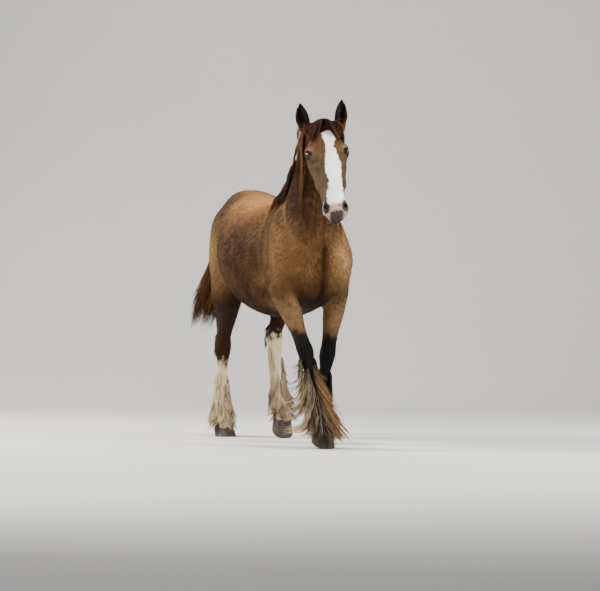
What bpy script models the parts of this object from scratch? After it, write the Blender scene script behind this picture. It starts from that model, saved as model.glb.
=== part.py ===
"""Gypsy vanner horse, a young bay walking forward, life size, as a still model.

Metres, +Z up. The horse faces -Y, its left side is +X, and it stands on the plane Z = 0.
Each form of the body is a loft: an outline seen from the side, given as pairs of points, and a
half width for each pair. The lofts of one region are fused, smoothed and parted with thin cuts.
"""

import math
import random

import bmesh
import bpy
import numpy as np
from mathutils import Matrix, Vector
from mathutils.bvhtree import BVHTree

# Gaps between neighbouring parts, and the fineness of the flesh
GAP = 0.00035
FLESH_VOXEL = 0.0125
HEAD_VOXEL = 0.0055
FLESH_TRIANGLES = 2900
HEAD_TRIANGLES = 1600

# Eyes, ears and hooves
EYE_RADIUS = 0.021
EAR_WALL = 0.006
TOE_RISE = 0.078
HEEL_RISE = 0.036
SOLE_LENGTH = 0.121
SOLE_HALF_WIDTH = 0.059
CORONET_HALF_WIDTH = 0.048
CORONET_FRONT = 0.062
CORONET_BACK = 0.146
TOE_FLAT = 0.0025

# Head: place of the poll and the turns of the head about it
POLL = Vector((-0.006, -0.640, 1.735))
HEAD_TURN = (
    Matrix.Translation(POLL)
    @ Matrix.Rotation(math.radians(-14.5), 4, "Z")
    @ Matrix.Rotation(math.radians(-5.4), 4, "Y")
)
HEAD_SIZE = 0.975
HEAD_MATRIX = HEAD_TURN @ Matrix.Rotation(math.radians(57), 4, "X") @ Matrix.Scale(HEAD_SIZE, 4)

# Colours
BAY = (0.235, 0.115, 0.052)
BLACK_HAIR = (0.030, 0.022, 0.020)
RUST_HAIR = (0.150, 0.062, 0.028)
CREAM_HAIR = (0.620, 0.540, 0.430)
HORN = (0.110, 0.095, 0.085)
EYE_BROWN = (0.020, 0.012, 0.010)
EAR_BROWN = (0.120, 0.062, 0.034)

# Torso: rows of x, y top, z top, y bottom, z bottom, half width, squareness, pear
TRUNK = (
    (0, -0.655, 1.070, -0.650, 0.930, 0.050, 2.0, 0.0),
    (0, -0.630, 1.130, -0.635, 0.855, 0.110, 2.1, 0.0),
    (0, -0.580, 1.200, -0.565, 0.785, 0.150, 2.2, 0.0),
    (0, -0.480, 1.280, -0.460, 0.745, 0.178, 2.2, 0.05),
    (0, -0.360, 1.345, -0.350, 0.720, 0.195, 2.1, 0.12),
    (0, -0.245, 1.370, -0.230, 0.700, 0.220, 2.0, 0.18),
    (0, -0.110, 1.347, -0.100, 0.685, 0.258, 2.0, 0.16),
    (0, 0.030, 1.320, 0.040, 0.685, 0.290, 2.0, 0.10),
    (0, 0.170, 1.320, 0.180, 0.712, 0.300, 2.0, 0.05),
    (0, 0.300, 1.350, 0.310, 0.765, 0.282, 2.0, 0.0),
    (0, 0.420, 1.385, 0.430, 0.830, 0.240, 2.1, -0.04),
    (0, 0.540, 1.398, 0.540, 0.880, 0.195, 2.2, -0.04),
    (0, 0.650, 1.368, 0.640, 0.925, 0.150, 2.1, 0.0),
    (0, 0.735, 1.305, 0.720, 0.980, 0.105, 2.0, 0.0),
    (0, 0.785, 1.235, 0.765, 1.060, 0.045, 2.0, 0.0),
)
NECK = (
    (0, -0.130, 1.330, -0.600, 0.960, 0.150, 2.0, 0.15),
    (0, -0.225, 1.383, -0.655, 1.060, 0.148, 2.0, 0.20),
    (0, -0.300, 1.480, -0.632, 1.190, 0.127, 2.0, 0.22),
    (0, -0.370, 1.582, -0.598, 1.300, 0.106, 2.0, 0.18),
    (0, -0.445, 1.675, -0.562, 1.390, 0.096, 2.0, 0.10),
    (0, -0.525, 1.734, -0.560, 1.470, 0.092, 2.0, 0.0),
    (0, -0.595, 1.750, -0.610, 1.530, 0.084, 2.0, 0.0),
    (0, -0.650, 1.722, -0.660, 1.570, 0.060, 2.0, 0.0),
)
# The line that parts head from neck, seen from the side: behind the ears and round the jaw
THROAT_LINE = (
    (-0.545, 1.800), (-0.540, 1.690), (-0.520, 1.580), (-0.505, 1.480), (-0.530, 1.410), (-0.640, 1.360),
)
# The line that parts neck from torso: from the withers to the breast
COLLAR_LINE = ((-0.190, 1.460), (-0.250, 1.340), (-0.400, 1.190), (-0.560, 1.080), (-0.740, 1.010))

# Joints of each leg, elbow or stifle first: x, y, z
FORE_RIGHT = ((-0.178, -0.475, 0.835), (-0.113, -0.655, 0.515), (-0.078, -0.752, 0.205))
FORE_LEFT = ((0.176, -0.365, 0.850), (0.142, -0.312, 0.485), (0.128, -0.262, 0.165))
HIND_RIGHT = ((-0.165, 0.415, 0.835), (-0.118, 0.665, 0.522), (-0.106, 0.728, 0.170))
HIND_LEFT = ((0.162, 0.300, 0.865), (0.138, 0.530, 0.575), (0.130, 0.408, 0.222))
# Hooves: toe tip x and y, turn about the vertical, lift of the heel, both in degrees
HOOF_FORE_RIGHT = (-0.062, -0.872, 3, 22)
HOOF_FORE_LEFT = (0.122, -0.352, -3, 0)
HOOF_HIND_RIGHT = (-0.104, 0.580, 5, 0)
HOOF_HIND_LEFT = (0.130, 0.322, -3, 38)

# Head, in its own frame: the face runs along -Y from the poll, the forehead is up
FACE = (
    (0, 0.020, -0.045, 0.020, -0.170, 0.058, 2.0, 0.0),
    (0, -0.030, -0.010, -0.020, -0.215, 0.080, 2.1, 0.0),
    (0, -0.090, 0.010, -0.085, -0.235, 0.097, 2.3, -0.08),
    (0, -0.150, 0.015, -0.150, -0.238, 0.109, 2.6, -0.16),
    (0, -0.205, 0.012, -0.205, -0.222, 0.107, 2.7, -0.14),
    (0, -0.265, 0.005, -0.265, -0.195, 0.093, 2.5, -0.06),
    (0, -0.325, -0.003, -0.325, -0.170, 0.081, 2.3, 0.0),
    (0, -0.385, -0.008, -0.385, -0.153, 0.071, 2.2, 0.05),
    (0, -0.445, -0.013, -0.445, -0.144, 0.064, 2.2, 0.05),
    (0, -0.505, -0.019, -0.505, -0.136, 0.060, 2.2, 0.0),
    (0, -0.550, -0.030, -0.545, -0.124, 0.057, 2.2, 0.0),
    (0, -0.580, -0.046, -0.575, -0.114, 0.048, 2.1, 0.0),
    (0, -0.595, -0.066, -0.592, -0.102, 0.028, 2.0, 0.0),
)
# Swellings of the head: name, centre, radii, pitch and yaw; x is for the left and is mirrored
SWELLINGS = (
    ("jowl", (0.062, -0.150, -0.170), (0.040, 0.105, 0.088), -8, 4),
    ("orbit", (0.084, -0.180, -0.038), (0.040, 0.064, 0.042), -8, 6),
    ("cheek_crest", (0.056, -0.300, -0.078), (0.024, 0.090, 0.020), 6, -10),
    ("nostril_wing", (0.044, -0.545, -0.066), (0.026, 0.040, 0.034), 20, -6),
    ("ear_base", (0.070, -0.010, -0.045), (0.036, 0.045, 0.040), 0, 0),
)
LIPS = (
    ("upper_lip", (0, -0.580, -0.090), (0.046, 0.030, 0.026), 0, 0),
    ("lower_lip", (0, -0.555, -0.132), (0.038, 0.042, 0.018), -6, 0),
    ("chin", (0, -0.522, -0.142), (0.032, 0.034, 0.020), 0, 0),
)
EYE = Vector((0.0965, -0.190, -0.0215))
GAZE = Vector((0.84, -0.22, 0.48))

# Long hair: flat tapered locks. Length, half width and half thickness of each named size
LOCK_SIZES = {
    "mane": (0.270, 0.031, 0.0075),
    "mane_short": (0.170, 0.020, 0.0060),
    "forelock": (0.150, 0.017, 0.0055),
    "tail": (0.400, 0.028, 0.0110),
    "feather_long": (0.260, 0.031, 0.0085),
    "feather": (0.190, 0.027, 0.0075),
}
LOCK_RINGS = 5
LOCK_SEED = 11
MANE_LOCKS = 13
FORELOCK_LOCKS = 8
TAIL_LOCKS = 13
# Fleshy dock under the tail's locks, rows as of the torso
DOCK = (
    (-0.002, 0.735, 1.262, 0.790, 1.205, 0.026, 2.0, 0.0),
    (-0.012, 0.810, 1.258, 0.800, 1.180, 0.034, 2.0, 0.0),
    (-0.028, 0.880, 1.190, 0.828, 1.115, 0.034, 2.0, 0.0),
    (-0.050, 0.930, 1.090, 0.862, 1.040, 0.030, 2.0, 0.0),
    (-0.072, 0.960, 0.990, 0.905, 0.960, 0.022, 2.0, 0.0),
    (-0.085, 0.960, 0.930, 0.930, 0.915, 0.010, 2.0, 0.0),
)

# Feather of each leg, tier by tier from the top: share of the way from knee or hock to fetlock
# (more than 1 is down the pastern), number of locks, first and last bearing in degrees round from
# the back, size, how far the tips stand out from the leg, and the height of the tips.
FEATHER = {
    "fore_right": (
        (0.34, 3, -110, 110, "feather_long", 0.085, 0.215),
        (0.58, 6, -165, 165, "feather_long", 0.118, 0.110),
        (0.88, 6, -165, 165, "feather_long", 0.148, 0.020),
        (1.25, 6, -165, 165, "feather_long", 0.112, 0.012),
    ),
    "fore_left": (
        (0.66, 6, -150, 150, "feather_long", 0.098, 0.085),
        (1.05, 7, -160, 160, "feather", 0.116, 0.012),
    ),
    "hind_right": (
        (0.74, 6, -150, 150, "feather", 0.084, 0.085),
        (1.08, 7, -160, 160, "feather", 0.098, 0.012),
    ),
    "hind_left": (
        (0.70, 6, -150, 150, "feather", 0.080, 0.155),
        (1.06, 7, -160, 160, "feather", 0.092, 0.090),
    ),
}


def clear_scene():
    for obj in list(bpy.data.objects):
        bpy.data.objects.remove(obj, do_unlink=True)


def material(name, colour, roughness):
    made = bpy.data.materials.new(name)
    made.use_nodes = True
    shader = made.node_tree.nodes["Principled BSDF"]
    shader.inputs["Base Color"].default_value = (*colour, 1.0)
    shader.inputs["Roughness"].default_value = roughness
    return made


def catmull_rom(rows, along):
    """Rows of numbers, drawn out smoothly into `along` steps between each two."""
    rows = np.array(rows, float)
    count = len(rows)
    padded = np.vstack([2 * rows[0] - rows[1], rows, 2 * rows[-1] - rows[-2]])
    t = np.linspace(0, count - 1, (count - 1) * along + 1)
    i = np.minimum(t.astype(int), count - 2)
    f = (t - i)[:, None]
    a, b, c, d = padded[i], padded[i + 1], padded[i + 2], padded[i + 3]
    return 0.5 * (2 * b + (c - a) * f + (2 * a - 5 * b + 4 * c - d) * f**2 + (3 * b - a - 3 * c + d) * f**3)


def loft(rows, around=20, along=3):
    """Rings of a tube. A row is x, y and z of the ring's first end, y and z of its second end,
    half width, squareness and pear: the ring is a superellipse, 2 for a plain ellipse, and is
    wider towards its second end as the pear grows."""
    fine = catmull_rom(rows, along)
    x, y1, z1, y2, z2, half, square, pear = (column[:, None] for column in fine.T)
    angle = np.linspace(0, 2 * math.pi, around, endpoint=False)[None, :]
    side, up = np.cos(angle), np.sin(angle)
    reach = (np.abs(side) ** square + np.abs(up) ** square) ** (-1 / square)
    side, up = side * reach, up * reach
    px = x + np.maximum(half, 0.001) * side * (1 - pear * up)
    py = (y1 + y2) / 2 + (y1 - y2) / 2 * up
    pz = (z1 + z2) / 2 + (z1 - z2) / 2 * up
    return np.stack([px, py, pz], 2)


def mesh_of_rings(rings):
    """The vertices and faces of a tube of rings, closed at both ends by a fan."""
    n, m, _ = rings.shape
    points = np.vstack([rings.reshape(-1, 3), rings[0].mean(0), rings[-1].mean(0)])
    k, j = np.meshgrid(np.arange(n - 1), np.arange(m), indexing="ij")
    right = (j + 1) % m
    quads = np.stack([k * m + j, k * m + right, (k + 1) * m + right, (k + 1) * m + j], 2)
    faces = quads.reshape(-1, 4).tolist()
    for ring, centre in ((0, n * m), (n - 1, n * m + 1)):
        faces += [[ring * m + q, ring * m + (q + 1) % m, centre] for q in range(m)]
    return points, faces


def add_mesh(name, points, faces, collection, matrix=None):
    mesh = bpy.data.meshes.new(name)
    mesh.from_pydata([tuple(p) for p in points], [], faces)
    work = bmesh.new()
    work.from_mesh(mesh)
    if matrix is not None:
        bmesh.ops.transform(work, matrix=matrix, verts=work.verts)
    bmesh.ops.recalc_face_normals(work, faces=work.faces)
    work.to_mesh(mesh)
    work.free()
    obj = bpy.data.objects.new(name, mesh)
    collection.objects.link(obj)
    return obj


def add_loft(name, rows, collection, matrix=None, around=20, along=3):
    points, faces = mesh_of_rings(loft(rows, around, along))
    return add_mesh(name, points, faces, collection, matrix)


def add_ellipsoid(name, centre, radii, collection, pitch=0.0, yaw=0.0, matrix=None, fine=16):
    """An ellipsoid turned by pitch about X and yaw about Z, in degrees."""
    work = bmesh.new()
    bmesh.ops.create_uvsphere(work, u_segments=fine, v_segments=fine // 2 + 2, radius=1.0)
    place = Matrix.Translation(centre) @ Matrix.Rotation(math.radians(yaw), 4, "Z")
    place = place @ Matrix.Rotation(math.radians(pitch), 4, "X") @ Matrix.Diagonal((*radii, 1.0))
    if matrix is not None:
        place = matrix @ place
    bmesh.ops.transform(work, matrix=place, verts=work.verts)
    bmesh.ops.recalc_face_normals(work, faces=work.faces)
    mesh = bpy.data.meshes.new(name)
    work.to_mesh(mesh)
    work.free()
    obj = bpy.data.objects.new(name, mesh)
    collection.objects.link(obj)
    return obj


def freeze(obj):
    """Applies an object's modifiers to its mesh."""
    bpy.context.view_layer.update()
    graph = bpy.context.evaluated_depsgraph_get()
    made = bpy.data.meshes.new_from_object(obj.evaluated_get(graph))
    obj.modifiers.clear()
    obj.data = made
    return obj


def fuse(name, pieces, voxel, smooth, triangles, target):
    """One closed surface round all the pieces: a voxel remesh, smoothed, then thinned."""
    work = bmesh.new()
    for piece in pieces:
        work.from_mesh(piece.data)
        bpy.data.objects.remove(piece, do_unlink=True)
    mesh = bpy.data.meshes.new(name)
    work.to_mesh(mesh)
    work.free()
    obj = bpy.data.objects.new(name, mesh)
    target.objects.link(obj)
    remesh = obj.modifiers.new("fuse", "REMESH")
    remesh.mode = "VOXEL"
    remesh.voxel_size = voxel
    relax = obj.modifiers.new("smooth", "SMOOTH")
    relax.factor = 0.5
    relax.iterations = smooth
    freeze(obj)
    obj.data.calc_loop_triangles()
    thin = obj.modifiers.new("thin", "DECIMATE")
    thin.ratio = triangles / len(obj.data.loop_triangles)
    freeze(obj)
    return obj


def boolean(obj, cutters, operation, solver="MANIFOLD"):
    """One Boolean of the object with a collection of closed meshes, which are then removed."""
    group = bpy.data.collections.new("cutters")
    bpy.context.scene.collection.children.link(group)
    for cutter in cutters:
        for holder in list(cutter.users_collection):
            holder.objects.unlink(cutter)
        group.objects.link(cutter)
        cutter.hide_render = True
        cutter.display_type = "WIRE"
    step = obj.modifiers.new(operation.lower(), "BOOLEAN")
    step.operation = operation
    step.solver = solver
    step.operand_type = "COLLECTION"
    step.collection = group
    freeze(obj)
    for cutter in list(group.objects):
        bpy.data.objects.remove(cutter, do_unlink=True)
    bpy.data.collections.remove(group)
    return obj


def islands(obj):
    """The object's separate closed surfaces, as lists of face indices, largest first."""
    work = bmesh.new()
    work.from_mesh(obj.data)
    left = set(work.faces)
    found = []
    while left:
        stack = [left.pop()]
        island = []
        while stack:
            face = stack.pop()
            island.append(face)
            for edge in (edge for edge in face.edges if len(edge.link_faces) == 2):
                for other in edge.link_faces:
                    if other in left:
                        left.discard(other)
                        stack.append(other)
        area = sum(face.calc_area() for face in island)
        found.append((area, [face.index for face in island]))
    work.free()
    found.sort(key=lambda pair: -pair[0])
    return [faces for _, faces in found]


def take_faces(obj, faces, name, collection):
    """A new object made of some of an object's faces."""
    work = bmesh.new()
    work.from_mesh(obj.data)
    kept = set(faces)
    drop = [face for face in work.faces if face.index not in kept]
    bmesh.ops.delete(work, geom=drop, context="FACES")
    mesh = bpy.data.meshes.new(name)
    work.to_mesh(mesh)
    work.free()
    made = bpy.data.objects.new(name, mesh)
    collection.objects.link(made)
    return made


def cut_into_triangles(work):
    """Triangulates a mesh. Where two faces would be cut along the same line, which leaves an edge
    with four faces, the smaller one gets a middle point instead."""
    work.verts.index_update()
    trial = work.copy()
    bmesh.ops.triangulate(trial, faces=trial.faces)
    crowded = [{vert.index for vert in edge.verts} for edge in trial.edges if len(edge.link_faces) > 2]
    trial.free()
    for pair in crowded:
        sharing = [f for f in work.faces if len(f.verts) > 3 and pair <= {v.index for v in f.verts}]
        if sharing:
            bmesh.ops.poke(work, faces=[min(sharing, key=lambda face: face.calc_area())])
            work.verts.index_update()
    bmesh.ops.triangulate(work, faces=work.faces)


def keep_largest(obj):
    """Joins doubled points and keeps the object's largest closed surface, in triangles."""
    work = bmesh.new()
    work.from_mesh(obj.data)
    bmesh.ops.remove_doubles(work, verts=work.verts, dist=0.0000015)
    cut_into_triangles(work)
    work.to_mesh(obj.data)
    kept = set(islands(obj)[0])
    work.faces.ensure_lookup_table()
    drop = [face for face in work.faces if face.index not in kept]
    bmesh.ops.delete(work, geom=drop, context="FACES")
    work.to_mesh(obj.data)
    work.free()
    return obj


def centre_of(obj, faces):
    total = Vector()
    for index in faces:
        total += obj.data.polygons[index].center
    return total / len(faces)


def ribbon_cutter(name, line, half_width, collection):
    """A thin curtain along a line in the side view, as thick as the gap between two parts."""
    line = catmull_rom(line, 4)
    run = np.gradient(line, axis=0)
    run /= np.linalg.norm(run, axis=1)[:, None]
    across = np.stack([-run[:, 1], run[:, 0]], 1) * GAP / 2
    outline = np.vstack([line + across, (line - across)[::-1]])
    count = len(outline)
    points = [(x, y, z) for x in (-half_width, half_width) for y, z in outline]
    half = count // 2
    faces = []
    for k in range(count):
        following = (k + 1) % count
        faces.append([k, following, count + following, count + k])
    for base in (0, count):
        for k in range(half - 1):
            faces.append([base + k, base + k + 1, base + count - 2 - k, base + count - 1 - k])
    return add_mesh(name, points, faces, collection)


def slab_cutter(name, centre, normal, half_size, collection):
    """A thin square slab across a limb, as thick as the gap between two parts."""
    work = bmesh.new()
    bmesh.ops.create_cube(work, size=1.0)
    turn = Vector(normal).to_track_quat("Z", "Y").to_matrix().to_4x4()
    place = Matrix.Translation(centre) @ turn @ Matrix.Diagonal((2 * half_size, 2 * half_size, GAP, 1))
    bmesh.ops.transform(work, matrix=place, verts=work.verts)
    bmesh.ops.recalc_face_normals(work, faces=work.faces)
    mesh = bpy.data.meshes.new(name)
    work.to_mesh(mesh)
    work.free()
    obj = bpy.data.objects.new(name, mesh)
    collection.objects.link(obj)
    return obj


def swollen_copy(obj, name, distance, collection):
    """A copy of a closed mesh with every point moved out along its normal."""
    mesh = obj.data.copy()
    work = bmesh.new()
    work.from_mesh(mesh)
    work.normal_update()
    for vert in work.verts:
        vert.co += vert.normal * distance
    work.to_mesh(mesh)
    work.free()
    made = bpy.data.objects.new(name, mesh)
    collection.objects.link(made)
    return made


def between(a, b, share):
    return tuple(p + (q - p) * share for p, q in zip(a, b))


def lean_of(a, b):
    """How far the bone from a down to b swings forward (towards -Y), in degrees."""
    return math.degrees(math.atan2(a[1] - b[1], a[2] - b[2]))


def limb_rows(stations):
    """Loft rows of a leg from stations of x, y, z, front depth, back depth, half width and the lean
    of the ring in degrees (positive lifts the front end)."""
    rows = []
    for x, y, z, front, back, half, lean in stations:
        c, s = math.cos(math.radians(lean)), math.sin(math.radians(lean))
        rows.append((x, y - front * c, z + front * s, y + back * c, z - back * s, half, 2.1, 0.0))
    return rows


def hoof_matrix(hoof):
    """Places a hoof built from its toe tip back along +Y: sunk a little where only the toe rests."""
    x, y, turn, lift = hoof
    sink = TOE_FLAT if lift else 0.0
    return (
        Matrix.Translation((x, y, -sink))
        @ Matrix.Rotation(math.radians(turn), 4, "Z")
        @ Matrix.Rotation(math.radians(lift), 4, "X")
    )


def coronet_of(hoof):
    """Middle of the coronet and the normal of the hoof's top."""
    place = hoof_matrix(hoof)
    front = place @ Vector((0, CORONET_FRONT, TOE_RISE))
    back = place @ Vector((0, CORONET_BACK, HEEL_RISE))
    normal = (back - front).cross(place.to_3x3() @ Vector((-1, 0, 0))).normalized()
    if normal.z < 0:
        normal.negate()
    return (front + back) / 2, normal


def fore_limb(joints, coronet):
    """Forearm, knee, cannon, fetlock and pastern of one foreleg."""
    elbow, knee, fetlock = joints
    coronet = tuple(coronet)
    up, low, foot = lean_of(elbow, knee), lean_of(knee, fetlock), lean_of(fetlock, coronet)
    mid = (up + low) / 2
    return limb_rows(
        (
            (*between(elbow, knee, -0.12), 0.100, 0.090, 0.062, up),
            (*between(elbow, knee, 0.12), 0.092, 0.074, 0.064, up),
            (*between(elbow, knee, 0.38), 0.074, 0.054, 0.060, up),
            (*between(elbow, knee, 0.65), 0.054, 0.040, 0.048, up),
            (*between(elbow, knee, 0.84), 0.049, 0.036, 0.045, up),
            (*knee, 0.051, 0.040, 0.050, mid),
            (*between(knee, fetlock, 0.14), 0.041, 0.038, 0.043, low),
            (*between(knee, fetlock, 0.32), 0.030, 0.034, 0.033, low),
            (*between(knee, fetlock, 0.62), 0.028, 0.033, 0.031, low),
            (*between(knee, fetlock, 0.87), 0.032, 0.037, 0.035, low),
            (*fetlock, 0.037, 0.044, 0.040, (low + foot) / 2),
            (*between(fetlock, coronet, 0.55), 0.030, 0.034, 0.036, foot),
            (*coronet, 0.040, 0.040, 0.045, foot * 0.75),
            (*between(fetlock, coronet, 1.35), 0.044, 0.042, 0.048, foot * 0.6),
        )
    )


def hind_limb(joints, coronet):
    """Gaskin, hock, cannon, fetlock and pastern of one hind leg."""
    stifle, hock, fetlock = joints
    coronet = tuple(coronet)
    up, low, foot = lean_of(stifle, hock), lean_of(hock, fetlock), lean_of(fetlock, coronet)
    return limb_rows(
        (
            (*between(stifle, hock, 0.00), 0.098, 0.215, 0.078, up * 0.4),
            (*between(stifle, hock, 0.22), 0.100, 0.170, 0.070, up * 0.5),
            (*between(stifle, hock, 0.45), 0.084, 0.122, 0.060, up * 0.6),
            (*between(stifle, hock, 0.68), 0.062, 0.086, 0.048, up * 0.5),
            (*between(stifle, hock, 0.86), 0.049, 0.076, 0.043, up * 0.3),
            (*hock, 0.052, 0.070, 0.052, low * 0.5),
            (*between(hock, fetlock, 0.13), 0.044, 0.052, 0.047, low),
            (*between(hock, fetlock, 0.30), 0.034, 0.038, 0.036, low),
            (*between(hock, fetlock, 0.62), 0.032, 0.035, 0.033, low),
            (*between(hock, fetlock, 0.87), 0.035, 0.039, 0.036, low),
            (*fetlock, 0.040, 0.046, 0.042, (low + foot) / 2),
            (*between(fetlock, coronet, 0.55), 0.032, 0.036, 0.037, foot),
            (*coronet, 0.040, 0.040, 0.045, foot * 0.75),
            (*between(fetlock, coronet, 1.35), 0.044, 0.042, 0.048, foot * 0.6),
        )
    )


def shoulder(side, elbow):
    """Shoulder blade, upper arm and triceps down to the elbow, on one side (+1 left, -1 right)."""
    ex, ey, ez = elbow
    return (
        (0.075 * side, -0.330, 1.350, -0.180, 1.300, 0.030, 1.9, 0.0),
        (0.118 * side, -0.440, 1.260, -0.190, 1.150, 0.070, 1.9, 0.0),
        (0.142 * side, -0.545, 1.120, -0.240, 1.010, 0.078, 1.9, 0.0),
        (0.152 * side, -0.605, 1.000, -0.285, 0.910, 0.072, 2.0, 0.0),
        (0.90 * ex, (ey - 0.125 - 0.59) / 2, ez + 0.075, ey + 0.105, ez + 0.040, 0.070, 2.1, 0.0),
        (0.98 * ex, ey - 0.105, ez - 0.010, ey + 0.095, ez + 0.015, 0.062, 2.1, 0.0),
        (ex, ey - 0.085, ez - 0.070, ey + 0.070, ez - 0.055, 0.054, 2.0, 0.0),
    )


def haunch(side, stifle, hock):
    """Croup and thigh on one side: a broad mass from the hip down to the stifle and the gaskin."""
    sx, sy, sz = stifle
    lx, ly, lz = between(stifle, hock, 0.52)
    return (
        (0.070 * side, 0.350, 1.350, 0.640, 1.335, 0.072, 2.0, -0.20),
        (0.105 * side, 0.320, 1.230, 0.735, 1.235, 0.112, 2.1, -0.38),
        (0.118 * side, 0.300, 1.110, 0.790, 1.120, 0.118, 2.1, -0.42),
        (0.125 * side, (0.290 + sy - 0.130) / 2, 0.990, 0.790, 1.010, 0.112, 2.1, -0.36),
        (0.138 * side, sy - 0.112, 0.900, (0.760 + sy + 0.270) / 2, 0.910, 0.098, 2.1, -0.28),
        (0.95 * sx, sy - 0.086, sz - 0.020, sy + 0.245, sz - 0.010, 0.080, 2.1, -0.18),
        (0.98 * sx, sy - 0.052, sz - 0.110, sy + 0.205, sz - 0.085, 0.066, 2.1, -0.10),
        (lx, ly - 0.070, lz + 0.030, ly + 0.092, lz - 0.010, 0.050, 2.1, 0.0),
    )


def body_forms(collection):
    forms = [add_loft("trunk", TRUNK, collection), add_loft("nape", NECK, collection)]
    legs = (
        (-1, FORE_RIGHT, HOOF_FORE_RIGHT, HIND_RIGHT, HOOF_HIND_RIGHT),
        (1, FORE_LEFT, HOOF_FORE_LEFT, HIND_LEFT, HOOF_HIND_LEFT),
    )
    for side, fore, fore_hoof, hind, hind_hoof in legs:
        forms.append(add_loft("blade", shoulder(side, fore[0]), collection))
        breast = (0.085 * side, -0.570, 0.955)
        forms.append(add_ellipsoid("breast", breast, (0.098, 0.088, 0.155), collection))
        forms.append(add_loft("fore_limb", fore_limb(fore, coronet_of(fore_hoof)[0]), collection))
        forms.append(add_loft("thigh", haunch(side, hind[0], hind[1]), collection))
        forms.append(add_loft("hind_limb", hind_limb(hind, coronet_of(hind_hoof)[0]), collection))
    return forms


def head_forms(collection):
    forms = [add_loft("face", FACE, collection, HEAD_MATRIX)]
    for name, (x, y, z), radii, pitch, yaw in SWELLINGS:
        for side in (-1, 1):
            centre = (x * side, y, z)
            forms.append(add_ellipsoid(name, centre, radii, collection, pitch, -yaw * side, HEAD_MATRIX))
    for name, centre, radii, pitch, yaw in LIPS:
        forms.append(add_ellipsoid(name, centre, radii, collection, pitch, yaw, HEAD_MATRIX))
    return forms


def mouth_groove(head, collection):
    """A thin tube laid on the skin along the line of the mouth, to be cut away."""
    tree = BVHTree.FromObject(head, bpy.context.evaluated_depsgraph_get())
    start = Vector((0, -0.520, -0.113))
    path = []
    for angle in np.linspace(-math.pi / 2, math.pi / 2, 13):
        rise = 0.006 * math.cos(angle) - 0.006
        aim = Vector((math.sin(angle), -math.cos(angle), 0))
        hit = tree.ray_cast(HEAD_MATRIX @ (start + Vector((0, 0, rise))), HEAD_MATRIX.to_3x3() @ aim)[0]
        path.append(HEAD_MATRIX.inverted() @ hit)
    path = np.array([tuple(p) for p in path])
    run = np.gradient(path, axis=0)
    run /= np.linalg.norm(run, axis=1)[:, None]
    rise = np.array((0.0, 0.0, 1.0))
    out = np.cross(run, rise)
    out /= np.linalg.norm(out, axis=1)[:, None]
    turn = np.linspace(0, 2 * math.pi, 4, endpoint=False)
    size = 0.0028 * np.sin(np.linspace(0.25, math.pi - 0.25, len(path))) ** 0.5
    ring = np.cos(turn)[None, :, None] * out[:, None, :] * 1.6 + np.sin(turn)[None, :, None] * rise
    rings = path[:, None, :] + size[:, None, None] * ring
    points, faces = mesh_of_rings(rings)
    return add_mesh("mouth_line", points, faces, collection, HEAD_MATRIX)


def cut_head(head, collection):
    """Eye sockets, lid openings, nostrils and the line of the mouth."""
    groove = mouth_groove(head, collection)
    cutters = [groove]
    for side in (-1, 1):
        eye = (EYE.x * side, EYE.y, EYE.z)
        radius = (EYE_RADIUS + GAP) / HEAD_SIZE
        cutters.append(add_ellipsoid("socket", eye, (radius,) * 3, collection, 0, 0, HEAD_MATRIX, 12))
        gaze = Vector((GAZE.x * side, GAZE.y, GAZE.z)).normalized()
        opening = Vector(eye) + gaze * 0.024
        tilt = -30 * side
        turned = HEAD_MATRIX @ Matrix.Translation(opening) @ Matrix.Rotation(math.radians(tilt), 4, "Y")
        cutters.append(
            add_ellipsoid("lid_slit", (0, 0, 0), (0.020, 0.0205, 0.0130), collection, 20, 0, turned, 12)
        )
    boolean(head, cutters, "DIFFERENCE")
    holes = []
    for side in (-1, 1):
        hole, radii = (0.063 * side, -0.560, -0.060), (0.018, 0.029, 0.014)
        holes.append(add_ellipsoid("nostril", hole, radii, collection, -38, -26 * side, HEAD_MATRIX, 10))
    boolean(head, holes, "DIFFERENCE")
    return keep_largest(head)


def front_piece(obj):
    """The piece of a cut object that reaches farthest forward."""
    return min(islands(obj), key=lambda faces: min(obj.data.polygons[i].center.y for i in faces))


def make_head(work, horse):
    """The head with the upper neck behind it, cut off behind the ears and round the jaw."""
    forms = head_forms(work) + [add_loft("nape", NECK[2:], work)]
    whole = fuse("head_whole", forms, HEAD_VOXEL, 7, HEAD_TRIANGLES, work)
    boolean(whole, [ribbon_cutter("throat_cut", THROAT_LINE, 0.30, work)], "DIFFERENCE")
    head = take_faces(whole, front_piece(whole), "head", horse)
    bpy.data.objects.remove(whole, do_unlink=True)
    return cut_head(head, work)


def add_eye(side, name, collection):
    centre = (EYE.x * side, EYE.y, EYE.z)
    radius = EYE_RADIUS / HEAD_SIZE
    return add_ellipsoid(name, centre, (radius,) * 3, collection, 0, 0, HEAD_MATRIX, 12)


def ear_matrix(side):
    return (
        HEAD_TURN
        @ Matrix.Translation((0.090 * side, 0.026, -0.040))
        @ Matrix.Rotation(math.radians(10 * side), 4, "Y")
        @ Matrix.Rotation(math.radians(4), 4, "X")
        @ Matrix.Rotation(math.radians(28 * side), 4, "Z")
    )


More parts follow.
